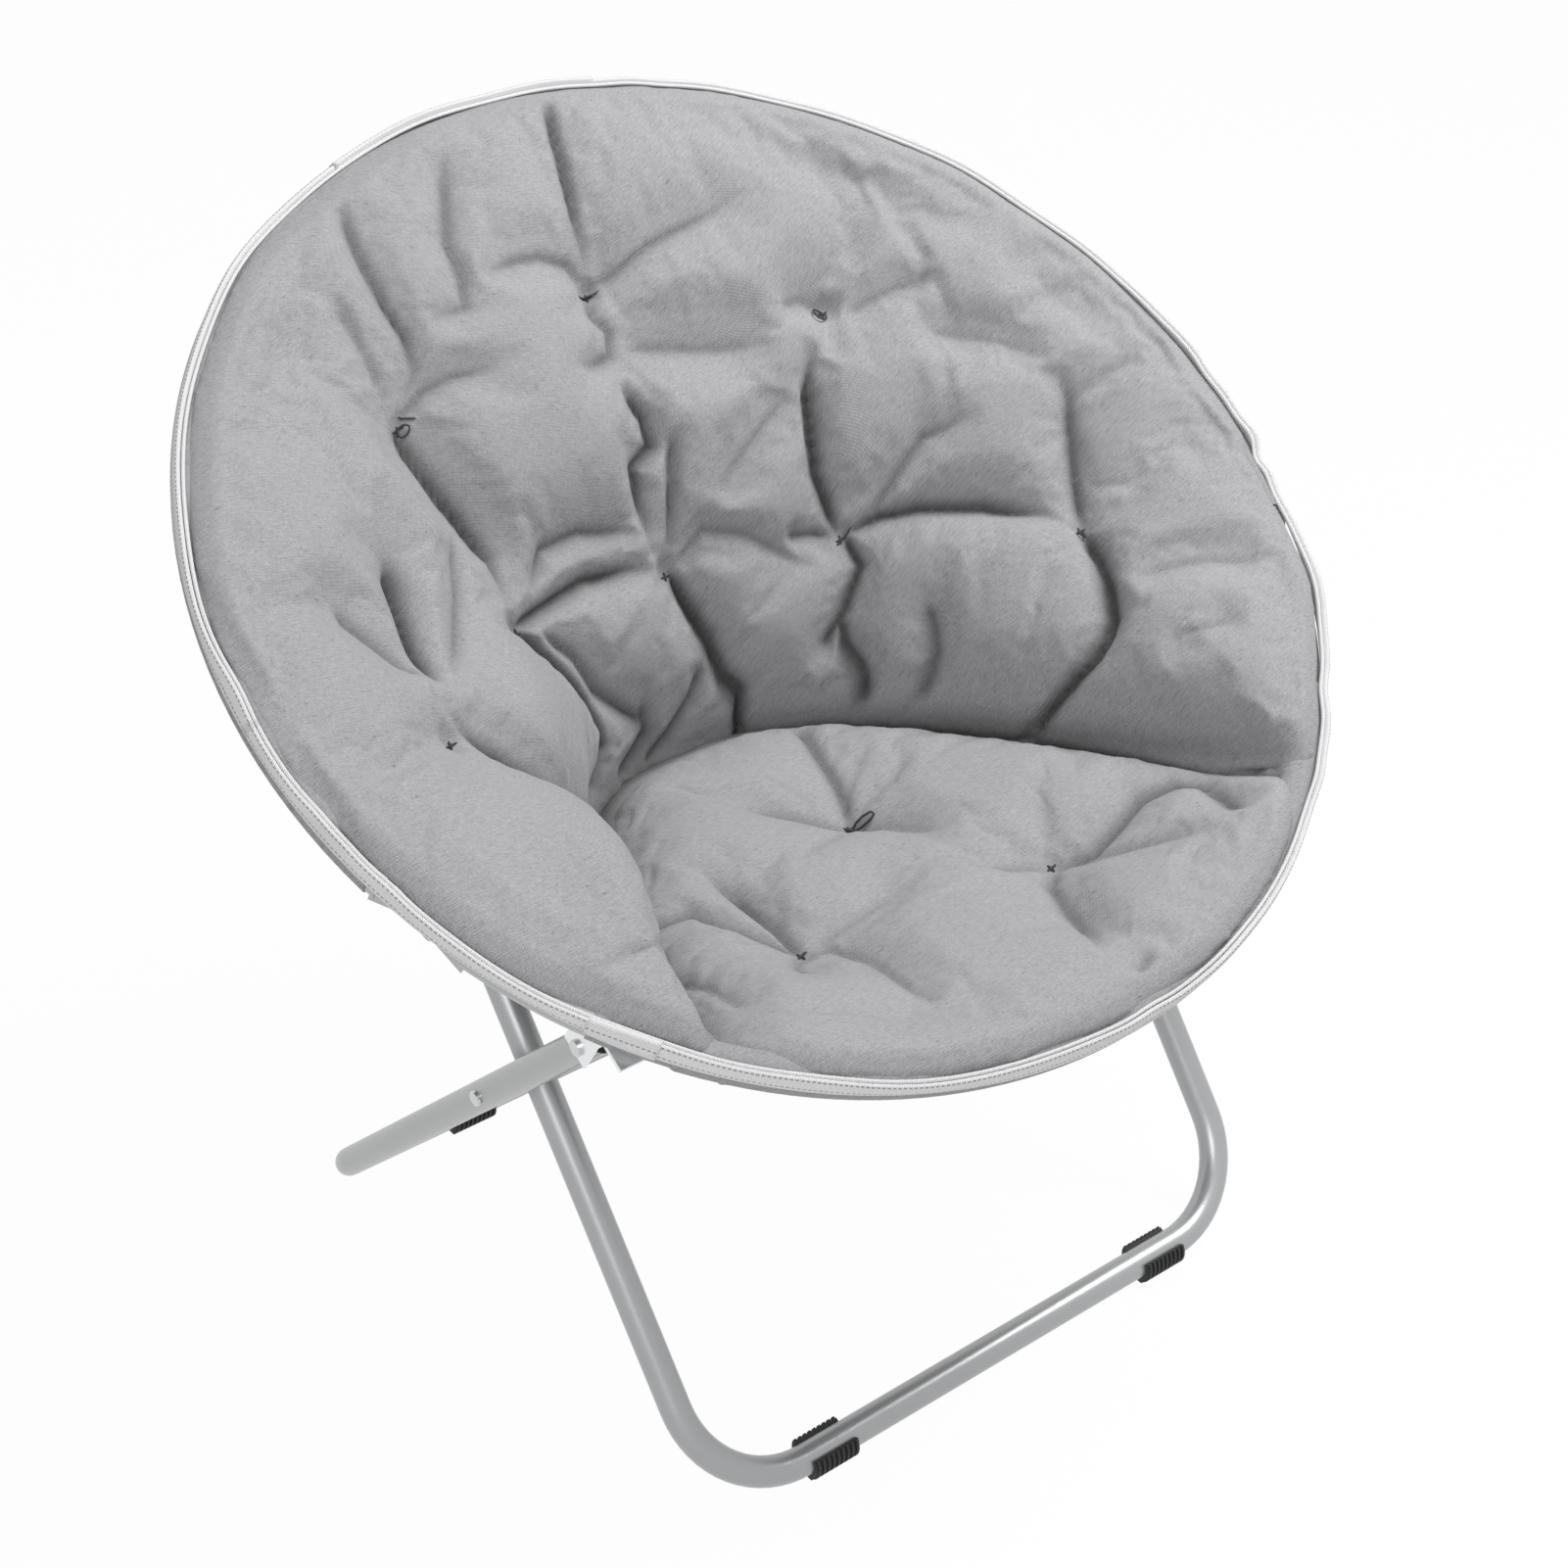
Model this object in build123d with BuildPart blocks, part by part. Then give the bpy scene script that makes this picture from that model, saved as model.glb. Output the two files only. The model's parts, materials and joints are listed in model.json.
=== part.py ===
# Folding saucer chair: a round padded seat slung in a hinged hoop on a pair of crossed U legs.
# Millimetres. +X is the sitter's left, -Y is the front, +Z is up.
# The origin is on the floor, below the middle of the hoop.
import math
import os
from build123d import *

# ---------------------------------------------------------------- driving dimensions
TUBE_DIAMETER = 22.0            # leg and hoop tube
TUBE_WALL = 1.2
HOOP_RADIUS = 394.0             # hoop tube's centreline
HOOP_HEIGHT = 566.0             # middle of the hoop above the floor
HOOP_TILT = 31.2                # degrees, the rear is up

FRONT_LEG_SPAN = 505.0          # between the front frame's leg centrelines
LEG_GAP = 15.0                  # between a front leg and a rear leg where they cross
LEG_BEND_RADIUS = 75.0
FLOOR_CLEARANCE = 3.0           # bar above the floor, the foot's thickness
CROSSING_Y = -54.8              # where the legs cross
CROSSING_Z = 271.9

PIVOT_DROP_FRONT = 45.0         # rear leg's top pivot, below the hoop's plane
PIVOT_INSET_FRONT = 20.26       # and behind the hoop tube over that leg
PIVOT_DROP_BACK = 38.0          # front leg's top pivot, below the hoop's plane
PIVOT_INSET_BACK = 29.18        # and in front of the hoop tube over that leg
LEG_END_MARGIN = 11.0           # tube beyond its pivot

RIVET_DIAMETER = 6.0
RIVET_HEAD_DIAMETER = 11.0
RIVET_HEAD_HEIGHT = 2.0
RUNNING_CLEARANCE = 0.05        # radial, rivets in their holes
SIDE_CLEARANCE = 0.5            # between a leg tube and a bracket's ear

HINGE_REACH = 152.0             # hoop hinge, forward of the hoop's middle
HINGE_PLATE = 4.0
HINGE_GAP = 0.4                 # washer between the hinge tongues
HINGE_WIDTH = 20.0
FRONT_TUBE_SETBACK = 26.0       # hinge pin to the front hoop's tube end
BACK_TUBE_SETBACK = 33.0
CAP_LENGTH = 6.0                # solid crimped end of a hoop tube

BRACKET_SHEET = 2.0
BRACKET_WIDTH = 24.0
BRACKET_LIP = 7.0               # ear beyond its rivet
BRACKET_WEB_HEIGHT = 11.0       # stop web at the front of a bracket
BRACKET_SADDLE = 1.5            # how far a bracket laps up the hoop tube
SLOT_MARGIN = 1.0               # sleeve to bracket
SLOT_LENGTH = 90.0
SPACER_RADIUS = 6.0

FOOT_LENGTH = 38.0
FOOT_WALL = 3.0
FOOT_RIB_HEIGHT = 1.6
FOOT_RIB_COUNT = 9
FOOT_SOLE_WIDTH = 16.0
FOOT_MOUTH = 120.0              # degrees of the clip's open top
PLUG_FLANGE = 1.6

SLEEVE_WALL = 1.2
EDGING_WALL = 1.4
EDGING_FROM = 5.0               # degrees up from the hoop's plane, on the outside
EDGING_TO = 65.0
FRONT_SLEEVE_HALF_ANGLE = 51.0  # degrees each side of the front
COVER_MARGIN = 1.0              # degrees short of the tube's end

PAD_GAP = 0.4                   # pads to the covered hoop
CREASE_GAP = 1.2                # between the two pads
PAD_RIM = 12.0                  # padding at the rim
SEAT_THICKNESS = 44.0
BACK_THICKNESS = 40.0
CREASE_DEPTH = 259.0            # rear of the seat, below the hoop's plane
CREASE_REACH = 12.0             # and forward of the hoop's middle
CREASE_SHARE = 0.6555           # where the crease meets the rim, as a share of the pad's radius
CREASE_POWER = 2.5
SEAT_DISH = 14.0
PAD_RELIEF = 2.0                # room around a bracket
RELIEF_DEPTH = 60.0
TUFT_RADIUS = 26.0
TUFT_DEPTH = 8.0
KNOT_RADIUS = 2.6

# side sections of the back pad: distance from the middle as a share of the pad's radius,
# then the reach and the depth of the section's middle point
BACK_SECTIONS = [
    (0.0000, 140.0, 92.0),
    (0.1573, 134.0, 92.0),
    (0.3015, 116.0, 91.0),
    (0.4457, 86.0, 86.0),
    (0.5637, 42.0, 74.0),
    (0.6293, 16.0, 63.0),
    (0.6869, 2.0, 54.0),
    (0.7551, -6.0, 43.0),
    (0.8259, -6.0, 31.0),
    (0.8915, -4.0, 19.0),
    (0.9386, -2.0, 11.0),
    (0.9701, 0.0, 5.0),
]
SEAT_SECTIONS = [0.0000, 0.1573, 0.3015, 0.4457, 0.5637, 0.6293]
# hand-sewn tufts, as shares of the pad's radius across the chair and up the hoop's plane
SEAT_TUFTS = [(0.087, -0.393), (0.254, -0.690), (-0.257, -0.624)]
BACK_TUFTS = [
    (0.010, 0.653),
    (0.475, 0.488),
    (-0.467, 0.522),
    (0.010, 0.202),
    (0.362, 0.121),
    (-0.378, 0.160),
    (0.703, -0.131),
    (-0.700, -0.079),
]

# ---------------------------------------------------------------- derived places
TUBE_RADIUS = TUBE_DIAMETER / 2
BORE_RADIUS = TUBE_RADIUS - TUBE_WALL
RIVET_RADIUS = RIVET_DIAMETER / 2
HOLE_RADIUS = RIVET_RADIUS + RUNNING_CLEARANCE
BAR_HEIGHT = TUBE_RADIUS + FLOOR_CLEARANCE
REAR_LEG_SPAN = FRONT_LEG_SPAN + 2 * (TUBE_DIAMETER + LEG_GAP)
FOOT_OFFSET = FRONT_LEG_SPAN / 2 - LEG_BEND_RADIUS - FOOT_LENGTH / 2
SLEEVE_RADIUS = TUBE_RADIUS + SLEEVE_WALL
PAD_RADIUS = HOOP_RADIUS - SLEEVE_RADIUS - PAD_GAP
CREASE_HALF_WIDTH = CREASE_SHARE * PAD_RADIUS
EAR_OUTER = TUBE_RADIUS + SIDE_CLEARANCE + BRACKET_SHEET

TILT = math.radians(HOOP_TILT)
HOOP_CENTRE = Vector(0, 0, HOOP_HEIGHT)
HOOP_PLANE = Plane(HOOP_CENTRE, x_dir=(1, 0, 0), z_dir=(0, -math.sin(TILT), math.cos(TILT)))


def on_hoop(x, reach, rise):
    """A point given across the chair, up the hoop's plane and square to that plane."""
    return HOOP_PLANE.from_local_coords(Vector(x, reach, rise))


def side_plane(x):
    """The upright plane at x whose own axes run up the hoop's plane and square to it."""
    return Plane(on_hoop(x, 0, 0), x_dir=HOOP_PLANE.y_dir, z_dir=(1, 0, 0))


def tube_reach(x):
    """How far up the hoop's plane the hoop tube's centreline is at a distance from the middle."""
    return math.sqrt(HOOP_RADIUS**2 - x**2)


CROSSING = Vector(0, CROSSING_Y, CROSSING_Z)
FRONT_PIVOT_REACH = -tube_reach(REAR_LEG_SPAN / 2) + PIVOT_INSET_FRONT
BACK_PIVOT_REACH = tube_reach(FRONT_LEG_SPAN / 2) - PIVOT_INSET_BACK
FRONT_PIVOT = on_hoop(0, FRONT_PIVOT_REACH, -PIVOT_DROP_FRONT)
BACK_PIVOT = on_hoop(0, BACK_PIVOT_REACH, -PIVOT_DROP_BACK)
REAR_LEG_DIRECTION = (FRONT_PIVOT - CROSSING).normalized()
FRONT_LEG_DIRECTION = (BACK_PIVOT - CROSSING).normalized()


def down_to_bar(direction):
    """The point of a leg's line at the height of its floor bar."""
    return CROSSING - direction * ((CROSSING_Z - BAR_HEIGHT) / direction.Z)


FRONT_BAR = down_to_bar(FRONT_LEG_DIRECTION)
REAR_BAR = down_to_bar(REAR_LEG_DIRECTION)
HINGE_X = tube_reach(HINGE_REACH)
HINGE = on_hoop(HINGE_X, -HINGE_REACH, 0)


def hoop_angle(reach):
    """Degrees from the sitter's left, backwards, at which the hoop is at this reach."""
    return math.degrees(math.asin(reach / HOOP_RADIUS))


FRONT_TUBE_START = hoop_angle(-HINGE_REACH - FRONT_TUBE_SETBACK)
BACK_TUBE_START = hoop_angle(-HINGE_REACH + BACK_TUBE_SETBACK)
FRONT_TUBE_ARC = 180 + 2 * FRONT_TUBE_START
BACK_TUBE_ARC = 180 - 2 * BACK_TUBE_START
CAP_ARC = math.degrees(CAP_LENGTH / HOOP_RADIUS)


# ---------------------------------------------------------------- shared shapes
def hoop_place(angle, radius):
    """A point of the hoop's plane at an angle and a radius, in that plane's own axes."""
    turn = math.radians(angle)
    return Vector(radius * math.cos(turn), radius * math.sin(turn), 0)


def ring_section(angle):
    """The plane across the hoop at an angle: its first axis is outwards, its second up."""
    point = HOOP_PLANE.from_local_coords(hoop_place(angle, HOOP_RADIUS))
    away = (point - HOOP_CENTRE).normalized()
    return Plane(point, x_dir=away, z_dir=away.cross(HOOP_PLANE.z_dir))


def sweep_hoop(arc):
    """Carries the pending section round the hoop."""
    revolve(axis=Axis(HOOP_CENTRE, HOOP_PLANE.z_dir), revolution_arc=arc)


def cross_axis(x, point):
    """A place at x on the line through a point, turned so that +Z runs across the chair."""
    return Location((x, point.Y, point.Z), (0, 90, 0))


def cut_cross_holes(x, point, radius):
    """A hole straight across the tube at x."""
    with Locations(cross_axis(x, point)):
        Cylinder(radius, TUBE_DIAMETER + 4, mode=Mode.SUBTRACT)


def leg_frame(bar, direction, span, length, hole_points):
    """A U of tube: a bar near the floor and two straight legs."""
    frame_plane = Plane(bar, x_dir=(1, 0, 0), z_dir=Vector(1, 0, 0).cross(direction))
    half = span / 2
    with BuildPart() as frame:
        with BuildLine(frame_plane) as route:
            FilletPolyline(
                (-half, length), (-half, 0), (half, 0), (half, length), radius=LEG_BEND_RADIUS
            )
        with BuildSketch(Plane(route.line @ 0, z_dir=route.line % 0)):
            Circle(TUBE_RADIUS)
            Circle(BORE_RADIUS, mode=Mode.SUBTRACT)
        sweep(path=route.line)
        for x in (-half, half):
            for point in hole_points:
                cut_cross_holes(x, point, HOLE_RADIUS)
    return frame.part


def end_plugs(bar, direction, span, length):
    """A pair of plastic plugs in a frame's open tube ends."""
    with BuildPart() as plugs:
        for x in (-span / 2, span / 2):
            end = Vector(x, 0, 0) + bar + direction * length
            with BuildSketch(Plane(end, z_dir=direction)):
                Circle(TUBE_RADIUS)
            extrude(amount=PLUG_FLANGE)
            with BuildSketch(Plane(end, z_dir=direction)):
                Circle(BORE_RADIUS)
            extrude(amount=-(LEG_END_MARGIN - RIVET_RADIUS - 1))
    return plugs.part


def foot(bar, x):
    """A ribbed rubber clip round a floor bar, open at the top and flat underneath."""
    pitch = FOOT_LENGTH / FOOT_RIB_COUNT
    start = Plane((x - FOOT_LENGTH / 2, bar.Y, bar.Z), x_dir=(0, 1, 0), z_dir=(1, 0, 0))
    mouth = math.radians(FOOT_MOUTH / 2)
    reach = 2 * (TUBE_RADIUS + FOOT_WALL + FOOT_RIB_HEIGHT)
    with BuildPart() as clip:
        with BuildSketch(start):
            Circle(TUBE_RADIUS + FOOT_WALL)
        extrude(amount=FOOT_LENGTH)
        for index in range(FOOT_RIB_COUNT):
            with BuildSketch(start.offset((index + 0.25) * pitch)):
                Circle(TUBE_RADIUS + FOOT_WALL + FOOT_RIB_HEIGHT)
            extrude(amount=pitch / 2)
        with Locations((x, bar.Y, bar.Z / 2)):
            Box(FOOT_LENGTH, FOOT_SOLE_WIDTH, bar.Z)
        with BuildSketch(start):
            Circle(TUBE_RADIUS)
        extrude(amount=FOOT_LENGTH, mode=Mode.SUBTRACT)
        with BuildSketch(start):
            with BuildLine():
                Polyline(
                    (0, 0),
                    (-reach * math.sin(mouth), reach * math.cos(mouth)),
                    (-reach, 2 * reach),
                    (reach, 2 * reach),
                    (reach * math.sin(mouth), reach * math.cos(mouth)),
                    close=True,
                )
            make_face()
        extrude(amount=FOOT_LENGTH, mode=Mode.SUBTRACT)
        with Locations((x, bar.Y, -reach)):
            Box(2 * FOOT_LENGTH, 4 * reach, 2 * reach, mode=Mode.SUBTRACT)
    return clip.part


def hoop_tube(start, arc, toward_tube):
    """An arc of hoop tube with capped ends, each with a hinge tongue that reaches the pin.

    toward_tube is 1 where the tube lies behind its hinge pins and -1 where it lies in front.
    """
    tongue_x = HINGE_X + toward_tube * (HINGE_GAP / 2 + HINGE_PLATE / 2)
    tongue_base = -HINGE_REACH + toward_tube * (HINGE_WIDTH / 2 + 1)
    with BuildPart() as hoop:
        with BuildSketch(ring_section(start)):
            Circle(TUBE_RADIUS)
            Circle(BORE_RADIUS, mode=Mode.SUBTRACT)
        sweep_hoop(arc)
        for cap_start in (start, start + arc - CAP_ARC):
            with BuildSketch(ring_section(cap_start)):
                Circle(BORE_RADIUS)
            sweep_hoop(CAP_ARC)
        for side in (-1, 1):
            end = start if math.cos(math.radians(start)) * side > 0 else start + arc
            grip = end + math.copysign(CAP_ARC / 2, start + arc / 2 - end)
            inner = hoop_place(grip, HOOP_RADIUS - HINGE_WIDTH / 2)
            outer = hoop_place(grip, HOOP_RADIUS + HINGE_WIDTH / 2)
            with BuildSketch(HOOP_PLANE):
                with BuildLine():
                    Polyline(
                        (inner.X, inner.Y),
                        (outer.X, outer.Y),
                        (side * (tongue_x + HINGE_PLATE / 2), tongue_base),
                        (side * (tongue_x - HINGE_PLATE / 2), tongue_base),
                        close=True,
                    )
                make_face()
            extrude(amount=HINGE_WIDTH / 2, both=True)
            with BuildSketch(side_plane(side * tongue_x - HINGE_PLATE / 2)):
                with Locations((-HINGE_REACH, 0)):
                    Circle(HINGE_WIDTH / 2)
                with Locations((-HINGE_REACH + toward_tube * HINGE_WIDTH / 4, 0)):
                    Rectangle(HINGE_WIDTH / 2 + 2, HINGE_WIDTH)
            extrude(amount=HINGE_PLATE)
            with Locations(cross_axis(side * tongue_x, HINGE)):
                Cylinder(HOLE_RADIUS, 2 * HINGE_PLATE, mode=Mode.SUBTRACT)
    return hoop.part


def hoop_cover(start, arc, slots):
    """A fabric tube round part of the hoop, slotted underneath round the brackets."""
    with BuildPart() as cover:
        with BuildSketch(ring_section(start)):
            Circle(SLEEVE_RADIUS)
            Circle(TUBE_RADIUS, mode=Mode.SUBTRACT)
        sweep_hoop(arc)
        for x, reach in slots:
            with Locations(HOOP_PLANE.location * Location((x, reach, -SLEEVE_RADIUS))):
                Box(2 * EAR_OUTER + 2 * SLOT_MARGIN, SLOT_LENGTH, 2 * SLEEVE_RADIUS, mode=Mode.SUBTRACT)
    return cover.part


def edging(start, arc):
    """The woven tape sewn along the outer top of the covered hoop."""
    low = math.radians(EDGING_FROM)
    high = math.radians(EDGING_TO)
    middle = (low + high) / 2
    inner = SLEEVE_RADIUS
    outer = SLEEVE_RADIUS + EDGING_WALL
    with BuildPart() as tape:
        with BuildSketch(ring_section(start)):
            with BuildLine():
                ThreePointArc(
                    (inner * math.cos(low), inner * math.sin(low)),
                    (inner * math.cos(middle), inner * math.sin(middle)),
                    (inner * math.cos(high), inner * math.sin(high)),
                )
                ThreePointArc(
                    (outer * math.cos(low), outer * math.sin(low)),
                    (outer * math.cos(middle), outer * math.sin(middle)),
                    (outer * math.cos(high), outer * math.sin(high)),
                )
                Line(
                    (inner * math.cos(low), inner * math.sin(low)),
                    (outer * math.cos(low), outer * math.sin(low)),
                )
                Line(
                    (inner * math.cos(high), inner * math.sin(high)),
                    (outer * math.cos(high), outer * math.sin(high)),
                )
            make_face()
        sweep_hoop(arc)
    return tape.part


def cut_hoop_tube():
    """Takes the hoop tube's room out of a bracket."""
    with BuildSketch(ring_section(0)) as section:
        Circle(TUBE_RADIUS)
    axis = Axis(HOOP_CENTRE, HOOP_PLANE.z_dir)
    revolve(section.sketch, axis=axis, revolution_arc=360, mode=Mode.SUBTRACT)


def front_bracket(x):
    """A sheet channel under the hoop: a top plate, a stop web and two ears round a leg's end."""
    half = TUBE_RADIUS + SIDE_CLEARANCE
    top = -TUBE_RADIUS + BRACKET_SADDLE
    under = -TUBE_RADIUS - BRACKET_SHEET
    low = -PIVOT_DROP_FRONT - BRACKET_LIP
    front = FRONT_PIVOT_REACH - BRACKET_WIDTH / 2
    back = FRONT_PIVOT_REACH + BRACKET_WIDTH / 2
    far = -tube_reach(abs(x) - EAR_OUTER)
    with BuildPart() as channel:
        for ear_x in (x - EAR_OUTER, x + half):
            with BuildSketch(side_plane(ear_x)):
                with BuildLine():
                    Polyline((front, top), (front, low), (back, low), (back, top), close=True)
                make_face()
            extrude(amount=BRACKET_SHEET)
        with BuildSketch(side_plane(x - EAR_OUTER)):
            with BuildLine():
                Polyline((far, top), (far, under), (back, under), (back, top), close=True)
            make_face()
        extrude(amount=2 * EAR_OUTER)
        with BuildSketch(side_plane(x - EAR_OUTER)):
            with Locations((front + BRACKET_SHEET / 2, under - BRACKET_WEB_HEIGHT / 2)):
                Rectangle(BRACKET_SHEET, BRACKET_WEB_HEIGHT)
        extrude(amount=2 * EAR_OUTER)
        with Locations(cross_axis(x, FRONT_PIVOT)):
            Cylinder(HOLE_RADIUS, 4 * EAR_OUTER, mode=Mode.SUBTRACT)
        cut_hoop_tube()
    return channel.part


def back_bracket(x):
    """Two ears hung from the hoop, one each side of a leg's end."""
    half = TUBE_RADIUS + SIDE_CLEARANCE
    with BuildPart() as ears:
        for ear_x in (x - EAR_OUTER, x + half):
            under_tube = tube_reach(ear_x + BRACKET_SHEET / 2)
            with BuildSketch(side_plane(ear_x)):
                with Locations((BACK_PIVOT_REACH, -PIVOT_DROP_BACK)):
                    Circle(BRACKET_WIDTH / 2)
                with Locations((under_tube, -TUBE_RADIUS / 2)):
                    Rectangle(BRACKET_WIDTH - 4, TUBE_RADIUS)
                make_hull()
            extrude(amount=BRACKET_SHEET)
        with Locations(cross_axis(x, BACK_PIVOT)):
            Cylinder(HOLE_RADIUS, 4 * EAR_OUTER, mode=Mode.SUBTRACT)
        cut_hoop_tube()
    return ears.part


def rivets(placements):
    """Domed rivets across the chair: each placement is (x from, x to, point)."""
    with BuildPart() as pins:
        for low, high, point in placements:
            with Locations(cross_axis((low + high) / 2, point)):
                Cylinder(RIVET_RADIUS, high - low)
            for x in (low - RIVET_HEAD_HEIGHT / 2, high + RIVET_HEAD_HEIGHT / 2):
                with Locations(cross_axis(x, point)):
                    Cylinder(RIVET_HEAD_DIAMETER / 2, RIVET_HEAD_HEIGHT)
    return pins.part


def crease_point(x):
    """Reach and depth of the seat's crease at a distance from the middle."""
    share = min(1.0, abs(x) / CREASE_HALF_WIDTH) ** CREASE_POWER
    rim = math.sqrt(PAD_RADIUS**2 - CREASE_HALF_WIDTH**2)
    reach = -CREASE_REACH - share * (rim - CREASE_REACH)
    depth = CREASE_DEPTH - share * (CREASE_DEPTH - PAD_RIM / 2)
    return Vector(reach, -depth)


def square_below(first, last, distance):
    """A step at right angles to a pad's chord, away from the sitter."""
    chord = (last - first).normalized()
    return Vector(chord.Y, -chord.X) * distance


def pad_section(x, top, steps):
    """One side section of a pad: a top arc, and a bottom arc a step away from each point."""
    first, middle, last = top
    first_low, middle_low, last_low = [point + step for point, step in zip(top, steps)]
    with BuildSketch(side_plane(x)) as section:
        with BuildLine():
            ThreePointArc(first, middle, last)
            Line(last, last_low)
            ThreePointArc(last_low, middle_low, first_low)
            Line(first_low, first)
        make_face()
    return section.sketch


def cut_relief(x, first, last):
    """Takes a bracket's room out of a pad, between two reaches."""
    half = EAR_OUTER + RIVET_HEAD_HEIGHT + PAD_RELIEF
    high = -TUBE_RADIUS / 2
    with BuildSketch(side_plane(x - half)) as room:
        with Locations(((first + last) / 2, high - RELIEF_DEPTH / 2)):
            Rectangle(last - first, RELIEF_DEPTH)
    extrude(room.sketch, amount=2 * half, mode=Mode.SUBTRACT)


def top_of(pad, x, reach):
    """The highest point of a pad over a place in the hoop's plane."""
    line = Axis(on_hoop(x, reach, -2 * CREASE_DEPTH), HOOP_PLANE.z_dir)
    hits = [point for point, _ in pad.find_intersection_points(line)]
    return max(hits, key=lambda point: HOOP_PLANE.to_local_coords(point).Z)


def tuft_places(pad, spots):
    """Where the tufts' dimples are centred, above the pad."""
    lift = HOOP_PLANE.z_dir * (TUFT_RADIUS - TUFT_DEPTH)
    return [top_of(pad, across * PAD_RADIUS, up * PAD_RADIUS) + lift for across, up in spots]


def knot_places(dimples):
    """The middles of the thread knots, half sunk at the bottoms of the dimples."""
    return [place - HOOP_PLANE.z_dir * TUFT_RADIUS for place in dimples]


def knots(places):
    """The thread knots at the bottoms of the dimples."""
    with BuildPart() as threads:
        with Locations(*places):
            Sphere(KNOT_RADIUS)
    return threads.part


def mirrored(values):
    """The same distances on both sides of the middle, in order."""
    return [-value for value in reversed(values) if value] + list(values)


def save(shape, name):
    """Label one sub-part and write it."""
    shape.label = name
    export_step(shape, f"parts/{name}.step")


os.makedirs("parts", exist_ok=True)

# ---------------------------------------------------------------- rear leg frame
rear_leg_length = (FRONT_PIVOT - REAR_BAR).length + LEG_END_MARGIN
rear_leg_frame = leg_frame(
    REAR_BAR, REAR_LEG_DIRECTION, REAR_LEG_SPAN, rear_leg_length, [CROSSING, FRONT_PIVOT]
)
save(rear_leg_frame, "rear_leg_frame")
save(end_plugs(REAR_BAR, REAR_LEG_DIRECTION, REAR_LEG_SPAN, rear_leg_length), "rear_leg_plugs")
save(foot(REAR_BAR, -FOOT_OFFSET), "rear_foot_right")
save(foot(REAR_BAR, FOOT_OFFSET), "rear_foot_left")

# ---------------------------------------------------------------- front leg frame
front_leg_length = (BACK_PIVOT - FRONT_BAR).length + LEG_END_MARGIN
front_leg_frame = leg_frame(
    FRONT_BAR, FRONT_LEG_DIRECTION, FRONT_LEG_SPAN, front_leg_length, [CROSSING, BACK_PIVOT]
)
save(front_leg_frame, "front_leg_frame")
save(end_plugs(FRONT_BAR, FRONT_LEG_DIRECTION, FRONT_LEG_SPAN, front_leg_length), "front_leg_plugs")
save(foot(FRONT_BAR, -FOOT_OFFSET), "front_foot_right")
save(foot(FRONT_BAR, FOOT_OFFSET), "front_foot_left")

# ---------------------------------------------------------------- leg crossing
inner_face = FRONT_LEG_SPAN / 2 - TUBE_RADIUS
outer_face = REAR_LEG_SPAN / 2 + TUBE_RADIUS
spacer_start = FRONT_LEG_SPAN / 2 + TUBE_RADIUS + RUNNING_CLEARANCE
spacer_end = REAR_LEG_SPAN / 2 - TUBE_RADIUS
crossing_spans = [
    (inner_face - RUNNING_CLEARANCE, outer_face, CROSSING),
    (-outer_face, -inner_face + RUNNING_CLEARANCE, CROSSING),
]
save(rivets(crossing_spans), "crossing_rivets")
with BuildPart() as crossing_spacers:
    for side in (-1, 1):
        with Locations(cross_axis(side * (spacer_start + spacer_end) / 2, CROSSING)):
            Cylinder(SPACER_RADIUS, spacer_end - spacer_start)
            Cylinder(HOLE_RADIUS, spacer_end - spacer_start, mode=Mode.SUBTRACT)
save(crossing_spacers.part, "crossing_spacers")

# ---------------------------------------------------------------- front half of the hoop
front_hoop_tube = hoop_tube(-180 - FRONT_TUBE_START, FRONT_TUBE_ARC, -1)
save(front_hoop_tube, "front_hoop_tube")
save(front_bracket(-REAR_LEG_SPAN / 2), "front_bracket_right")
save(front_bracket(REAR_LEG_SPAN / 2), "front_bracket_left")
front_rivet_spans = [
    (side * REAR_LEG_SPAN / 2 - EAR_OUTER, side * REAR_LEG_SPAN / 2 + EAR_OUTER, FRONT_PIVOT)
    for side in (-1, 1)
]
save(rivets(front_rivet_spans), "front_bracket_rivets")
hinge_half = HINGE_GAP / 2 + HINGE_PLATE
hinge_spans = [(side * HINGE_X - hinge_half, side * HINGE_X + hinge_half, HINGE) for side in (-1, 1)]
save(rivets(hinge_spans), "hinge_rivets")

# ---------------------------------------------------------------- back half of the hoop
back_hoop_tube = hoop_tube(BACK_TUBE_START, BACK_TUBE_ARC, 1)
save(back_hoop_tube, "back_hoop_tube")
save(back_bracket(-FRONT_LEG_SPAN / 2), "back_bracket_right")
save(back_bracket(FRONT_LEG_SPAN / 2), "back_bracket_left")
with BuildPart() as back_bracket_rivets:
    for leg_x in (-FRONT_LEG_SPAN / 2, FRONT_LEG_SPAN / 2):
        for side in (-1, 1):
            with Locations(cross_axis(leg_x + side * (EAR_OUTER - BRACKET_SHEET / 2), BACK_PIVOT)):
                Cylinder(RIVET_RADIUS, BRACKET_SHEET)
            with Locations(cross_axis(leg_x + side * (EAR_OUTER + RIVET_HEAD_HEIGHT / 2), BACK_PIVOT)):
                Cylinder(RIVET_HEAD_DIAMETER / 2, RIVET_HEAD_HEIGHT)
save(back_bracket_rivets.part, "back_bracket_rivets")

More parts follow.
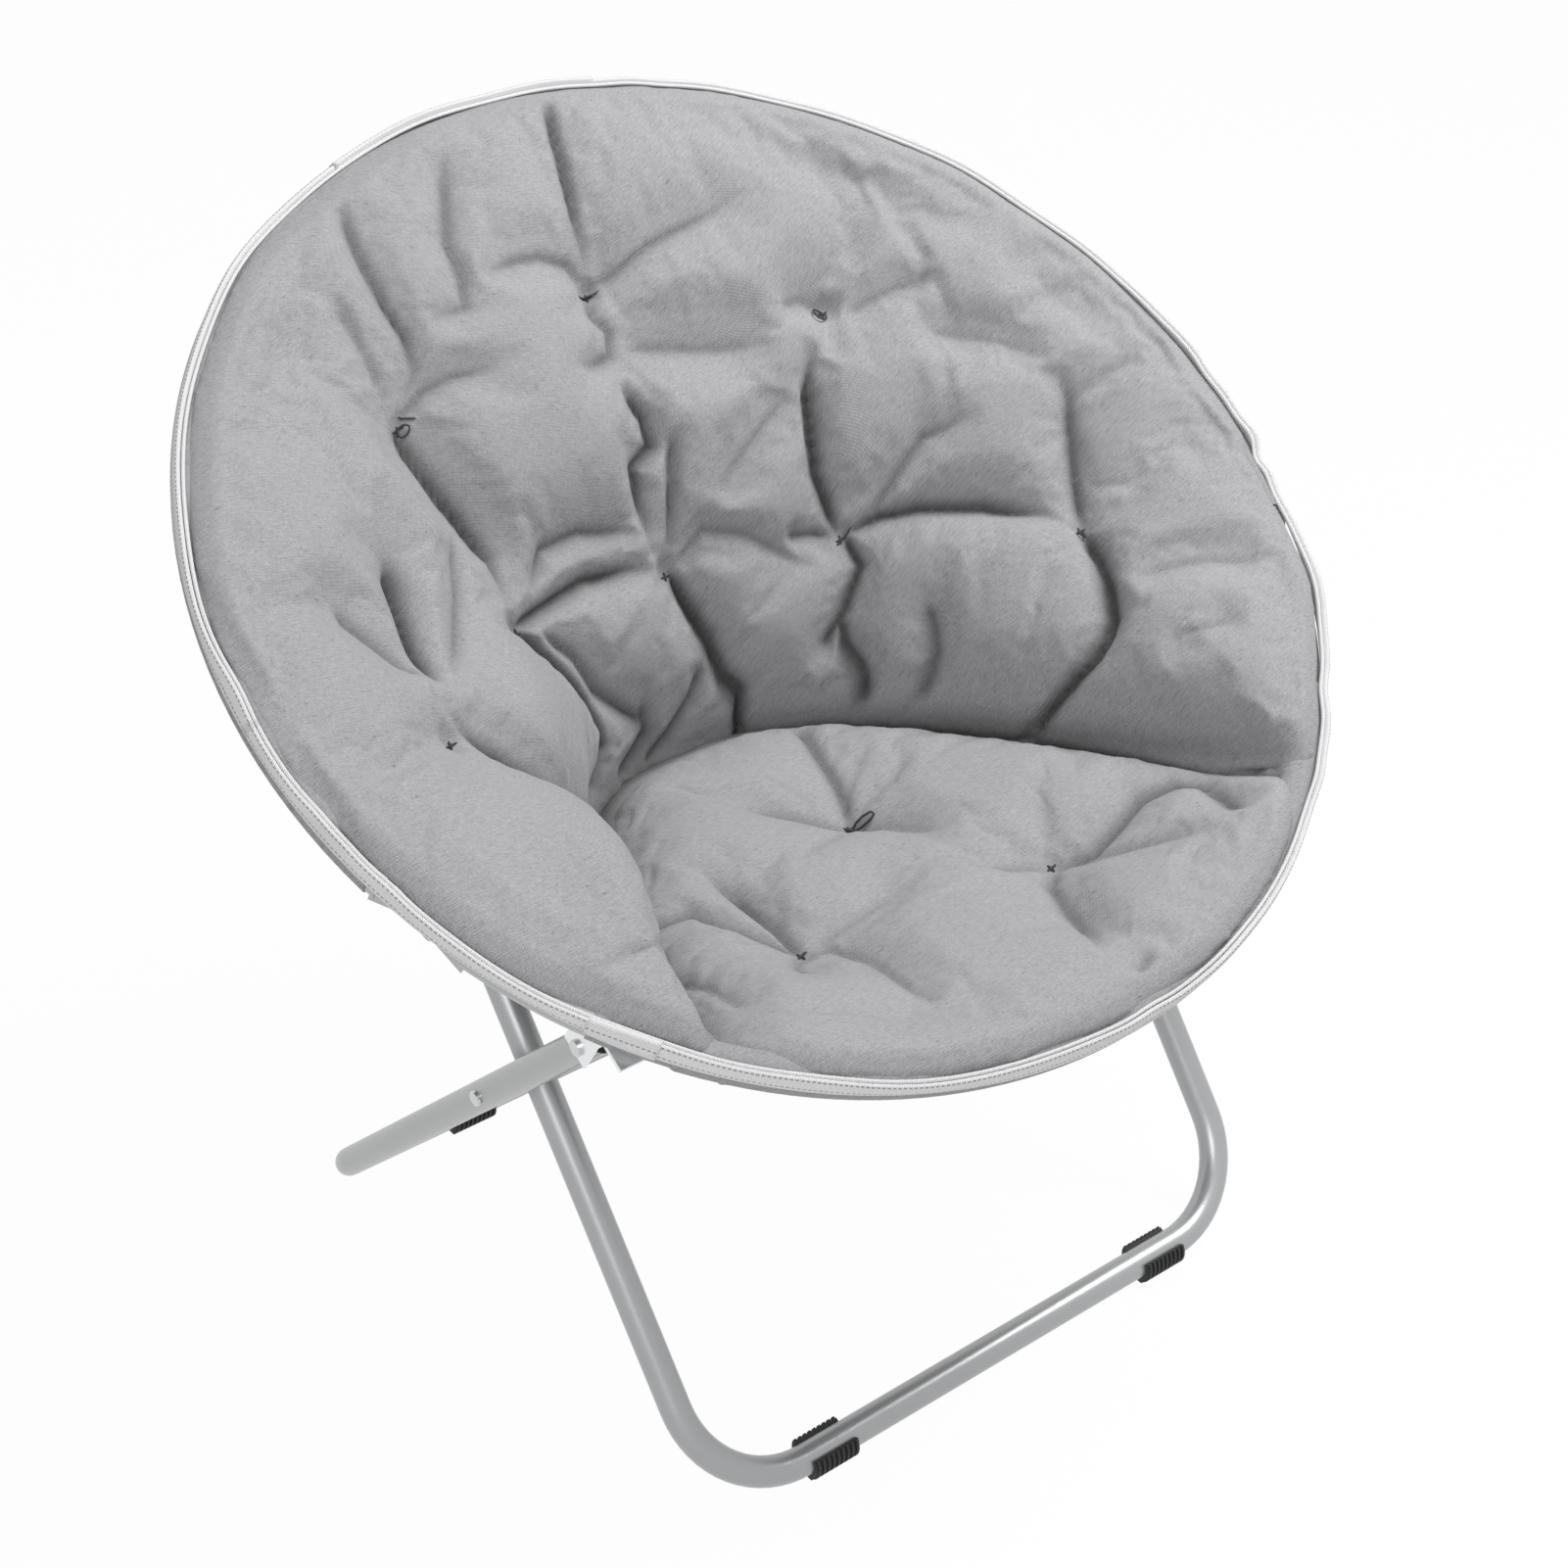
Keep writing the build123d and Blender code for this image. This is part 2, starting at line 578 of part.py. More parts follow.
# ---------------------------------------------------------------- covers and edge
front_slots = [(side * REAR_LEG_SPAN / 2, FRONT_PIVOT_REACH - BRACKET_WIDTH / 2) for side in (-1, 1)]
back_slots = [(side * FRONT_LEG_SPAN / 2, BACK_PIVOT_REACH + BRACKET_WIDTH) for side in (-1, 1)]
front_cover_start = -90 - FRONT_SLEEVE_HALF_ANGLE
front_cover_arc = 2 * FRONT_SLEEVE_HALF_ANGLE
save(hoop_cover(front_cover_start, front_cover_arc, front_slots), "front_sleeve")
back_cover_start = BACK_TUBE_START + COVER_MARGIN
back_cover_arc = BACK_TUBE_ARC - 2 * COVER_MARGIN
save(hoop_cover(back_cover_start, back_cover_arc, back_slots), "back_sleeve")
save(edging(front_cover_start, front_cover_arc), "front_edging")
save(edging(back_cover_start, back_cover_arc), "back_edging")

# ---------------------------------------------------------------- seat pad
seat_profiles = []
for x in mirrored([share * PAD_RADIUS for share in SEAT_SECTIONS]):
    bulk = 1 - (abs(x) / CREASE_HALF_WIDTH) ** 2
    thickness = PAD_RIM + (SEAT_THICKNESS - PAD_RIM) * bulk
    front = Vector(-math.sqrt(PAD_RADIUS**2 - x**2), PAD_RIM / 2)
    rear = crease_point(x) + Vector(-CREASE_GAP, 0)
    centre = (front + rear) / 2 + Vector(0, -SEAT_DISH * bulk)
    steps = (
        Vector(0, -PAD_RIM),
        square_below(front, rear, thickness),
        square_below(front, rear, (PAD_RIM + thickness) / 2),
    )
    seat_profiles.append(pad_section(x, (front, centre, rear), steps))
with BuildPart() as seat_pad:
    loft(seat_profiles, ruled=True)
    seat_dimples = tuft_places(seat_pad.part, SEAT_TUFTS)
    with Locations(*seat_dimples):
        Sphere(TUFT_RADIUS, mode=Mode.SUBTRACT)
    with Locations(*knot_places(seat_dimples)):
        Sphere(KNOT_RADIUS, mode=Mode.SUBTRACT)
save(seat_pad.part, "seat_pad")
save(knots(knot_places(seat_dimples)), "seat_tufts")

# ---------------------------------------------------------------- back pad
back_profiles = []
for share in mirrored([section[0] for section in BACK_SECTIONS]):
    reach, depth = [row[1:] for row in BACK_SECTIONS if row[0] == abs(share)][0]
    x = share * PAD_RADIUS
    rim = math.sqrt(PAD_RADIUS**2 - x**2)
    bulk = (1 - (abs(x) / PAD_RADIUS) ** 2) ** 2
    thickness = PAD_RIM + (BACK_THICKNESS - PAD_RIM) * bulk
    centre = Vector(reach, -depth)
    rear = Vector(rim, PAD_RIM / 2)
    if abs(x) < CREASE_HALF_WIDTH:
        front = crease_point(x)
        front_step = square_below(front, rear, (PAD_RIM + thickness) / 2)
    else:
        front = Vector(-rim, PAD_RIM / 2)
        front_step = Vector(0, -PAD_RIM)
    steps = (front_step, square_below(front, rear, thickness), Vector(0, -PAD_RIM))
    back_profiles.append(pad_section(x, (front, centre, rear), steps))
with BuildPart() as back_pad:
    loft(back_profiles, ruled=True)
    for side in (-1, 1):
        cut_relief(side * REAR_LEG_SPAN / 2, -HOOP_RADIUS, FRONT_PIVOT_REACH + BRACKET_WIDTH)
        cut_relief(side * FRONT_LEG_SPAN / 2, BACK_PIVOT_REACH - BRACKET_WIDTH, HOOP_RADIUS)
    back_dimples = tuft_places(back_pad.part, BACK_TUFTS)
    with Locations(*back_dimples):
        Sphere(TUFT_RADIUS, mode=Mode.SUBTRACT)
    with Locations(*knot_places(back_dimples)):
        Sphere(KNOT_RADIUS, mode=Mode.SUBTRACT)
save(back_pad.part, "back_pad")
save(knots(knot_places(back_dimples)), "back_tufts")
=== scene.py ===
import json
import math

import bmesh
import bpy
import numpy as np
from mathutils import Matrix, Vector
from mathutils.bvhtree import BVHTree

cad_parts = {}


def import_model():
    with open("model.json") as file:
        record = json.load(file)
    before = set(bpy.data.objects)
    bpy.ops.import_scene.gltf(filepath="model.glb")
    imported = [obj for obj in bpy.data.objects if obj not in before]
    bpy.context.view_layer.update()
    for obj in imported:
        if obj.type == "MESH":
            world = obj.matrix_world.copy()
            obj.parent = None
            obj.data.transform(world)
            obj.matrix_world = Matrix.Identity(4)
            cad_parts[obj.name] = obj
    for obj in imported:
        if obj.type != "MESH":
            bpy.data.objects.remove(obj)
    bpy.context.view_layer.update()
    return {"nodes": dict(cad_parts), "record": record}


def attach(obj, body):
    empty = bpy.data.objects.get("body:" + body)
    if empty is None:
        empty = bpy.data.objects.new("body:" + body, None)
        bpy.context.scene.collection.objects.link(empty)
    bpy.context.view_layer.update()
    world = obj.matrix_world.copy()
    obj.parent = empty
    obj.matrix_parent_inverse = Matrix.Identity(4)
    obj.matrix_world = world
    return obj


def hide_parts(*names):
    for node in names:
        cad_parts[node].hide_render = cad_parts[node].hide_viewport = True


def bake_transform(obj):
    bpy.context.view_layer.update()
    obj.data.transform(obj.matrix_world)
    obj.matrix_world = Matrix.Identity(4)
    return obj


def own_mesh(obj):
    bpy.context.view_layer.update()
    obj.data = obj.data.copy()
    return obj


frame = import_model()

SCENE = bpy.context.scene

# ---------------------------------------------------------------- the hoop's frame, in metres
# C0 is the hoop's centre. UX, US and UN point across the chair, up the hoop's plane and square to it.
TILT = math.radians(31.2)
C0 = np.array([0.0, 0.0, 0.566])
UX = np.array([1.0, 0.0, 0.0])
US = np.array([0.0, math.cos(TILT), math.sin(TILT)])
UN = np.array([0.0, -math.sin(TILT), math.cos(TILT)])
HOOP_R = 0.394  # middle of the hoop's tube
PAD_R = 0.3814  # rim of the dish that the pads fill
COVER_R = 0.3985  # rim of the cover, tucked into the edging
RIM_N = 0.006  # height of the dish's rim over the hoop's plane


def world(x, s, n):
    """Points given across the chair, up the hoop's plane and square to it."""
    x, s, n = np.broadcast_arrays(np.asarray(x, float), s, n)
    return C0 + x[..., None] * UX + s[..., None] * US + n[..., None] * UN


def hoop_coords(points):
    """The inverse of world: the points' x, s and n."""
    q = np.asarray(points, float) - C0
    return q @ UX, q @ US, q @ UN


def step(value, low=0.0, high=1.0):
    """0 below low, 1 above high, and a smooth rise between."""
    share = np.clip((value - low) / (high - low), 0, 1)
    return share * share * (3 - 2 * share)


def bell(distance, reach, power=2):
    """1 at no distance, fading out over the reach."""
    return np.exp(-((distance / reach) ** power))


# ---------------------------------------------------------------- the dish's top surface
# the back's arcs, in mm: distance from the middle, then the place up the plane and the depth of each
# arc's middle point
BACK = np.array([
    (0, 140, 92), (60, 134, 92), (115, 116, 91), (170, 86, 86), (215, 42, 74), (240, 16, 63), (262, 2, 54),
    (288, -6, 43), (315, -6, 31), (340, -4, 19), (358, -2, 11), (370, 0, 5), (382, 0, -5)], float) / 1000
HALF = 0.25  # half the crease's width
CREASE_REACH = 0.012  # how far below the hoop's centre the crease's middle lies
CREASE_DEPTH = 0.259
CREASE_END_DEPTH = 0.006
CREASE_POWER = 2.5
SEAT_HOLLOW = 0.014


def back_column(ax, column):
    """A column of the back's table, rounded between its stations."""
    total = np.zeros_like(ax)
    for shift, weight in ((-0.02, 0.25), (0.0, 0.5), (0.02, 0.25)):
        total += weight * np.interp(np.abs(ax + shift), BACK[:, 0], BACK[:, column])
    return total


def crease_share(x):
    return np.minimum(1.0, np.abs(x) / HALF) ** CREASE_POWER


def crease(x):
    """Where seat and back meet: reach and height at a distance from the middle."""
    share = crease_share(x)
    end_reach = math.sqrt(PAD_R**2 - HALF**2)
    reach = -CREASE_REACH - share * (end_reach - CREASE_REACH)
    height = -(CREASE_DEPTH - share * (CREASE_DEPTH - CREASE_END_DEPTH))
    return reach, height


def arc(s, p1, p2, p3):
    """Height at s on the circle through three points, all arrays."""
    (x1, y1), (x2, y2), (x3, y3) = p1, p2, p3
    a = x1 * (y2 - y3) - y1 * (x2 - x3) + x2 * y3 - x3 * y2
    d1, d2, d3 = x1**2 + y1**2, x2**2 + y2**2, x3**2 + y3**2
    a = np.where(np.abs(a) < 1e-9, 1e-9, a)
    cx = (d1 * (y2 - y3) + d2 * (y3 - y1) + d3 * (y1 - y2)) / (2 * a)
    cy = (d1 * (x3 - x2) + d2 * (x1 - x3) + d3 * (x2 - x1)) / (2 * a)
    r2 = (x1 - cx) ** 2 + (y1 - cy) ** 2
    root = np.sqrt(np.maximum(r2 - (s - cx) ** 2, 0))
    chord = y1 + (y3 - y1) * (x2 - x1) / (x3 - x1)
    return np.where(y2 < chord, cy - root, cy + root)


def back_height(x, s):
    """Top of the back half at (x, s)."""
    ax = np.abs(x)
    rim = np.sqrt(np.maximum(PAD_R**2 - ax**2, 1e-6))
    crease_s, crease_n = crease(x)
    low_s = np.where(ax < HALF, crease_s, -rim)
    low_n = np.where(ax < HALF, crease_n, RIM_N)
    middle = (back_column(ax, 1), -back_column(ax, 2))
    s = np.clip(s, low_s, rim)
    return arc(s, (low_s, low_n), middle, (rim, RIM_N + 0 * rim))


def seat_height(x, s):
    """Top of the seat half at (x, s)."""
    ax = np.minimum(np.abs(x), HALF - 1e-4)
    rim = np.sqrt(PAD_R**2 - ax**2)
    crease_s, crease_n = crease(ax)
    bulk = 1 - (ax / HALF) ** 2
    middle = ((crease_s - rim) / 2, (RIM_N + crease_n) / 2 - SEAT_HOLLOW * bulk)
    s = np.clip(s, -rim, crease_s)
    return arc(s, (-rim, RIM_N + 0 * rim), middle, (crease_s, crease_n))


# ---------------------------------------------------------------- valleys sewn and folded into the cover
# picked along the photo's folds; each: depth mm, width mm, points (x, s) in mm
BACK_FOLDS = [
    # down from the top rim to the top tuft, and the folds round that tuft
    (5, 4, [(31, 380), (15, 321), (8, 282), (7, 261), (4, 250)]),
    (6, 15, [(4, 251), (-5, 265), (-27, 272), (-51, 272), (-73, 269), (-91, 262)]),
    (5, 14, [(4, 250), (26, 252), (56, 259), (97, 264), (145, 271)]),
    (4, 9, [(4, 250), (-1, 232), (6, 217), (1, 202), (-21, 196), (-43, 194)]),
    # upper left, into the tuft there and on down to the lower left one
    (5, 9, [(-160, 335), (-162, 297), (-160, 266), (-155, 244), (-157, 224), (-179, 200)]),
    (4, 9, [(-71, 350), (-97, 296), (-99, 267), (-105, 250), (-128, 248), (-149, 240)]),
    (3, 10, [(-194, 272), (-186, 240), (-181, 201)]),
    (14, 17, [(-181, 198), (-174, 170), (-166, 145), (-156, 123), (-145, 102), (-145, 80), (-147, 62)]),
    (4, 12, [(-179, 200), (-158, 210), (-134, 211), (-93, 204)]),
    # from the lower left tuft to the middle one and down into the crease
    (7, 9, [(-144, 61), (-110, 71), (-68, 81), (-31, 81), (3, 76)]),
    (5, 10, [(-117, 85), (-103, 101), (-67, 106), (-25, 101), (-5, 92)]),
    (7, 6, [(-144, 61), (-126, 48), (-107, 33), (-89, 15), (-80, -5), (-93, -24), (-128, -53)]),
    (7, 13, [(-117, 56), (-93, 41), (-77, 22), (-51, 9), (-36, 4)]),
    # the left wing
    (11, 11, [(-239, 101), (-244, 68), (-251, 35), (-256, 11), (-255, 0)]),
    (7, 16, [(-301, 70), (-285, 50), (-269, 29), (-258, 8)]),
    (5, 14, [(-175, 116), (-193, 75), (-217, 40), (-250, 7)]),
    # above, beside and below the middle tuft
    (6, 8, [(3, 178), (10, 159), (9, 142), (-8, 133), (-10, 111), (-6, 91), (-4, 78)]),
    (4, 5, [(23, 140), (14, 111), (9, 90), (6, 75)]),
    (3, 9, [(12, 78), (33, 86), (65, 70), (94, 47), (119, 30)]),
    (8, 7, [(7, 74), (18, 50), (29, 31), (39, 8), (51, -5), (53, -26)]),
    (5, 9, [(21, 19), (10, 6), (-9, -5), (-25, -11)]),
    (5, 9, [(-35, 11), (-30, -1), (-55, -16)]),
    # round the right tuft
    (4, 8, [(97, 59), (118, 55), (138, 45)]),
    (8, 11, [(138, 45), (162, 42), (185, 31), (220, 5), (248, -25), (268, -50)]),
    (7, 7, [(134, 49), (133, 66), (130, 87), (135, 112), (141, 136), (150, 154), (166, 162)]),
    (6, 8, [(138, 45), (140, 22), (130, 11), (120, 0), (108, -9)]),
    (6, 6, [(119, 0), (118, -16), (123, -33), (125, -51)]),
    # the right wing, up from its tuft and down into the crease
    (5, 8, [(268, -50), (279, -18), (292, 11), (303, 36), (304, 66)]),
    (8, 7, [(268, -50), (260, -76), (249, -99), (236, -124), (226, -133), (214, -141), (202, -146),
            (191, -150)]),
    (4, 16, [(264, -109), (306, -128), (339, -159)]),
    (4, 16, [(246, -171), (288, -183)]),
    (5, 12, [(154, 43), (178, 57), (204, 70), (237, 62)]),
    (4, 7, [(161, -35), (158, -64), (152, -76)]),
    # soft ones at the upper right and in the middle
    (4, 12, [(181, 187), (162, 194), (136, 192)]),
    (3, 12, [(194, 175), (228, 173), (262, 165)]),
    (4, 18, [(115, 133), (74, 113), (36, 94)]),
    (6, 22, [(17, 204), (62, 189), (130, 169)]),
    (3, 14, [(240, 132), (281, 100), (303, 66)]),
    # the feet of the right and the left wing
    (5, 9, [(217, -269), (234, -276), (240, -285)]),
    (11, 12, [(-161, -77), (-191, -68), (-216, -54), (-238, -39), (-255, -24), (-263, -7)]),
]
SEAT_FOLDS = [
    # from the rear tuft
    (4, 8, [(33, -149), (44, -120), (59, -79), (72, -48)]),
    (4, 11, [(31, -151), (11, -136), (-12, -113), (-37, -92)]),
    (3, 10, [(31, -151), (45, -165), (64, -199)]),
    # from the left tuft
    (6, 10, [(-98, -238), (-96, -209), (-97, -174), (-106, -136)]),
    (5, 10, [(-98, -238), (-119, -204), (-140, -171), (-172, -168)]),
    (4, 12, [(-98, -238), (-82, -242), (-78, -268), (-91, -326), (-95, -344)]),
    (4, 12, [(-98, -238), (-115, -246), (-138, -267)]),
    (3, 14, [(-88, -236), (-48, -232), (2, -226)]),
    # from the right tuft
    (5, 10, [(97, -264), (78, -276), (59, -303), (44, -333), (25, -352)]),
    (6, 10, [(97, -264), (119, -268), (143, -261), (174, -250), (198, -253), (212, -268)]),
    (4, 12, [(97, -264), (121, -275), (150, -292), (168, -311)]),
    (3, 12, [(97, -264), (79, -252), (47, -241)]),
    # near the corners and the front rim
    (5, 10, [(210, -266), (205, -283), (193, -310)]),
    (4, 12, [(50, -367), (29, -377)]),
    (3, 12, [(-206, -226), (-199, -241), (-199, -266)]),
]
BACK_TUFTS = [(4, 249), (181, 186), (-178, 199), (4, 77), (138, 46), (-144, 61), (268, -50), (-267, -30)]
SEAT_TUFTS = [(33, -150), (97, -263), (-98, -238)]

FOLD_GAIN = 1.15
VALLEY_SHARE = 0.55  # how much of a fold's depth its soft valley takes
PINCH_REACH = 0.0036  # reach of the sharp line at its bottom
SHARP_WIDTH = 8  # mm; folds narrower than this are fully pinched
CREASE_REACHED = 0.045  # a fold that ends nearer to the crease than this runs into it
RUN_OUT = 2.4  # a fold dies away over the last 1 / RUN_OUT of its length


def near_line(px, ps, points):
    """Distance of each point to a polyline given in mm, and how far along it is, 0 to 1."""
    pts = np.array(points, float) / 1000
    best = np.full(px.shape, 9.0)
    where = np.zeros(px.shape)
    lengths = np.hypot(*np.diff(pts, axis=0).T)
    total, done = lengths.sum(), 0.0
    for (ax, ay), (bx, by), length in zip(pts[:-1], pts[1:], lengths):
        t = np.clip(((px - ax) * (bx - ax) + (ps - ay) * (by - ay)) / max(length**2, 1e-12), 0, 1)
        d = np.hypot(px - ax - t * (bx - ax), ps - ay - t * (by - ay))
        closer = d < best
        best = np.where(closer, d, best)
        where = np.where(closer, (done + t * length) / total, where)
        done += length
    return best, where


def crease_edge(x):
    """The crease in plan, carried on to the cover's own rim."""
    extra = math.sqrt(COVER_R**2 - HALF**2) - math.sqrt(PAD_R**2 - HALF**2)
    return crease(x)[0] - extra * crease_share(x) ** 3


CREASE_X = HALF * np.sin(np.linspace(-0.5, 0.5, 61) * np.pi)
CREASE_LINE = [(x * 1000, s * 1000) for x, s in zip(CREASE_X, crease_edge(CREASE_X))]


def crease_distance(px, ps):
    """Distance in plan to the seam between seat and back."""
    return near_line(px, ps, CREASE_LINE)[0]


def tuft_distances(px, ps, tufts):
    """Distance in plan to each tuft in turn."""
    return [np.hypot(px - tx / 1000, ps - ts / 1000) for tx, ts in tufts]


def folds(px, ps, lines):
    """How deep the cover is drawn in along its folds, and how sharply, both in metres."""
    valley = np.zeros(px.shape)
    pinch = np.zeros(px.shape)
    for deep, wide, points in lines:
        d, t = near_line(px, ps, points)
        last = np.array(points[-1]) / 1000
        into_crease = crease_distance(last[:1], last[1:])[0] < CREASE_REACHED
        tail = 1.0 if into_crease else step((1 - t) * RUN_OUT)
        head = step(0.45 + t * 4)
        deep = deep / 1000 * FOLD_GAIN * (tail * head)
        valley = np.maximum(valley, VALLEY_SHARE * deep * bell(d, wide / 1000))
        sharp = min(1.0, SHARP_WIDTH / wide)
        pinch = np.maximum(pinch, sharp * deep * bell(d, PINCH_REACH, 1.3))
    return valley, pinch


# ---------------------------------------------------------------- stuffing
# where the back is stuffed fuller: across, up, reach across, reach up, height (metres)
SWELLS = [(-0.216, -0.175, 0.055, 0.080, 0.044), (0.250, -0.175, 0.050, 0.080, 0.016),
          (-0.290, 0.020, 0.050, 0.120, 0.008), (0.0, 0.165, 0.12, 0.06, 0.004)]
HELD = 0.95  # how much of the stuffing's lift the crease and the tufts hold back
RIM_FADE = 0.034
TUFT_FADE = 0.034
FOLD_FADE = 0.024
CREASE_FADE = 0.015
CREASE_DIP = 0.008
CREASE_DIP_REACH = 0.011
DEEP_FOLD = 5  # mm; folds from this depth on press the stuffing down
TOP_OF_BACK = 240  # mm up the hoop's plane; folds that start above it don't


def puff(px, ps, tufts, lines, full):
    """How far the stuffing lifts the cover between its tufts, its folds, its rim and the crease."""
    r = np.hypot(px, ps)
    lift = full * (1 - np.exp(-np.maximum(COVER_R - r, 0) / RIM_FADE))
    for deep, wide, points in lines:
        if deep >= DEEP_FOLD and points[0][1] < TOP_OF_BACK:
            d, t = near_line(px, ps, points)
            pressed = min(0.7, 0.085 * deep)
            lift = lift * (1 - pressed * step((1 - t) * RUN_OUT) * bell(d, FOLD_FADE, 1.4))
    seam = crease_distance(px, ps)
    lift = lift * (1 - HELD * bell(seam, CREASE_FADE, 1.4)) - CREASE_DIP * bell(seam, CREASE_DIP_REACH)
    for d in tuft_distances(px, ps, tufts):
        lift = lift * (1 - HELD * bell(d, TUFT_FADE, 1.2))
    return lift


def swell(px, ps):
    """The fuller stuffing of the back's wings and of its upper middle."""
    rise = np.zeros(px.shape)
    for x, s, wx, ws, high in SWELLS:
        rise += high * np.exp(-(((px - x) / wx) ** 2) - ((ps - s) / ws) ** 2)
    return rise * step(crease_distance(px, ps), 0.0, 0.022)


def lobes(px, ps):
    """Broad uneven stuffing."""
    u, v = px * 1000, ps * 1000
    return (np.sin(u / 61 + 1.3 * np.sin(v / 83)) * np.sin(v / 57 + 0.9) * 0.0022
            + np.sin(u / 29 + v / 41) * np.sin(v / 33 - u / 57 + 2) * 0.0010)


# ---------------------------------------------------------------- the edge's wandering
# what the hand-sewn edge does on its way: angle, reach in degrees, outwards, upwards (metres)
RIM_KINKS = [
    (12.0, 3.0, -0.001, 0.002), (0.5, 2.2, -0.002, -0.001), (-8.0, 1.8, 0.001, 0.003),
    (-10.8, 1.3, -0.003, -0.002), (-15.5, 2.5, -0.002, -0.001), (-27.0, 4.0, 0.001, 0.002),
    (-40.0, 2.6, -0.003, -0.001), (-51.0, 3.0, 0.001, 0.003), (-77.0, 4.0, 0.001, 0.003),
    (-86.0, 2.5, -0.002, -0.002), (-141.0, 2.5, -0.001, -0.002), (176.0, 3.0, -0.002, 0.0),
    (171.0, 2.6, 0.001, 0.003), (-176.0, 2.2, 0.001, 0.002), (-170.5, 2.0, -0.002, -0.002),
    (-167.0, 1.8, 0.001, 0.003), (-161.5, 2.0, -0.002, -0.002), (74.0, 3.0, 0.001, 0.002),
]


def rim_shift(angle):
    """How far the edging wanders outwards and upwards at an angle round the hoop, in degrees."""
    a = np.radians(angle)
    out = 0.0008 * np.sin(9 * a + 0.4) + 0.0006 * np.sin(17 * a + 2.1)
    up = 0.0010 * np.sin(11 * a + 1.2) + 0.0008 * np.sin(23 * a)
    for at, width, kink_out, kink_up in RIM_KINKS:
        share = bell((angle - at + 180) % 360 - 180, width)
        out = out + kink_out * share
        up = up + kink_up * share
    return out, up


# ---------------------------------------------------------------- the padded halves
class BackHalf:
    """The back's half of the cover, between the hoop and the crease."""

    name = "back_cover"
    columns = COVER_R * np.sin(np.radians(np.linspace(-88.5, 88.5, 181)))
    rows = 130
    height = staticmethod(back_height)
    tufts, lines = BACK_TUFTS, BACK_FOLDS
    full, thick = 0.026, 0.034  # the stuffing's lift and the bag's thickness

    @staticmethod
    def span(columns, rim):
        """The lower and the upper end of each column; the lower one lies a little past the crease."""
        past = 0.006 * step(np.abs(columns), 0.19, 0.235)
        return np.where(np.abs(columns) < HALF, crease_edge(columns) - 0.003 - past, -rim), rim

    @staticmethod
    def base(x, s):
        """The back's surface, and the seat's where the bag reaches past the crease."""
        past_seam = (np.abs(x) < HALF) & (s < crease(x)[0])
        return np.where(past_seam, seat_height(x, s), back_height(x, s))

    @staticmethod
    def shaped(top, x, s):
        return top + swell(x, s)


class SeatHalf:
    """The seat's half of the cover, between the crease and the hoop."""

    name = "seat_cover"
    columns = np.linspace(-HALF + 0.004, HALF - 0.004, 121)
    rows = 110
    height = staticmethod(seat_height)
    base = staticmethod(seat_height)
    tufts, lines = SEAT_TUFTS, SEAT_FOLDS
    full, thick = 0.024, 0.036

    @staticmethod
    def span(columns, rim):
        return -rim, crease_edge(columns) + 0.003

    @staticmethod
    def shaped(top, x, s):
        """The seat drawn down along the crease's ends, more on the left than on the right."""
        side = step(-x, 0.04, 0.15) + 0.4 * step(x, 0.06, 0.15)
        return top - 0.026 * side * bell(crease_distance(x, s), 0.034)


ROW_CROWDING = 0.06  # draws a column's points towards its two ends
RIM_LIFT = 0.0070  # how far the cover's rim stands over the dish's
LEAST_THICKNESS = 0.010
TIP_THICKNESS = 0.016  # added near the crease's ends, where the bag stands on edge


def bag_points(half):
    """The bag's grid in plan, x and s, with the heights of its upper and its lower sheet."""
    columns, rows = half.columns, half.rows
    x = np.repeat(columns[:, None], rows, axis=1)
    t = np.linspace(0, 1, rows)
    t = t - ROW_CROWDING * np.sin(2 * np.pi * t)
    rim = np.sqrt(np.maximum(COVER_R**2 - columns**2, 1e-8))
    low, high = half.span(columns, rim)
    s = low[:, None] + (high - low)[:, None] * t[None, :]
    base = half.base(x, s)
    r = np.hypot(x, s)
    over = step(r, 0.345, 0.383)
    top = base + RIM_LIFT * over + puff(x, s, half.tufts, half.lines, half.full) + lobes(x, s) * (1 - over)
    top = half.shaped(top, x, s)
    under = base - half.thick * (1 - 0.65 * step(r, 0.24, 0.375)) - 0.002
    under = np.where(r > PAD_R, np.minimum(top - 0.004, 0.001), under)
    seam = crease_distance(x, s)
    inside = 1 - step(r, 0.376, 0.383)
    tips = TIP_THICKNESS * step(np.abs(x), 0.14, 0.21) * bell(seam, 0.03) * inside
    least = LEAST_THICKNESS * np.minimum(1, seam / 0.02 + 0.8)
    return x, s, top, np.minimum(under, top - least - tips)


def bag_faces(m, k):
    """Faces of a closed bag of two sheets of m by k points each, the upper sheet's points first."""
    faces = []
    off = m * k
    for i in range(m - 1):
        for j in range(k - 1):
            a, b, c, d = i * k + j, (i + 1) * k + j, (i + 1) * k + j + 1, i * k + j + 1
            faces.append((a, b, c, d))
            faces.append((off + d, off + c, off + b, off + a))
    for j in range(k - 1):
        for i, flip in ((0, False), (m - 1, True)):
            a, d = i * k + j, i * k + j + 1
            q = (a, d, off + d, off + a)
            faces.append(q[::-1] if flip else q)
    for i in range(m - 1):
        for j, flip in ((0, True), (k - 1, False)):
            a, b = i * k + j, (i + 1) * k + j
            q = (a, b, off + b, off + a)
            faces.append(q[::-1] if flip else q)
    return faces


def new_object(name, verts, faces):
    mesh = bpy.data.meshes.new(name)
    mesh.from_pydata([tuple(v) for v in verts], [], faces)
    mesh.update()
    obj = bpy.data.objects.new(name, mesh)
    SCENE.collection.objects.link(obj)
    return obj


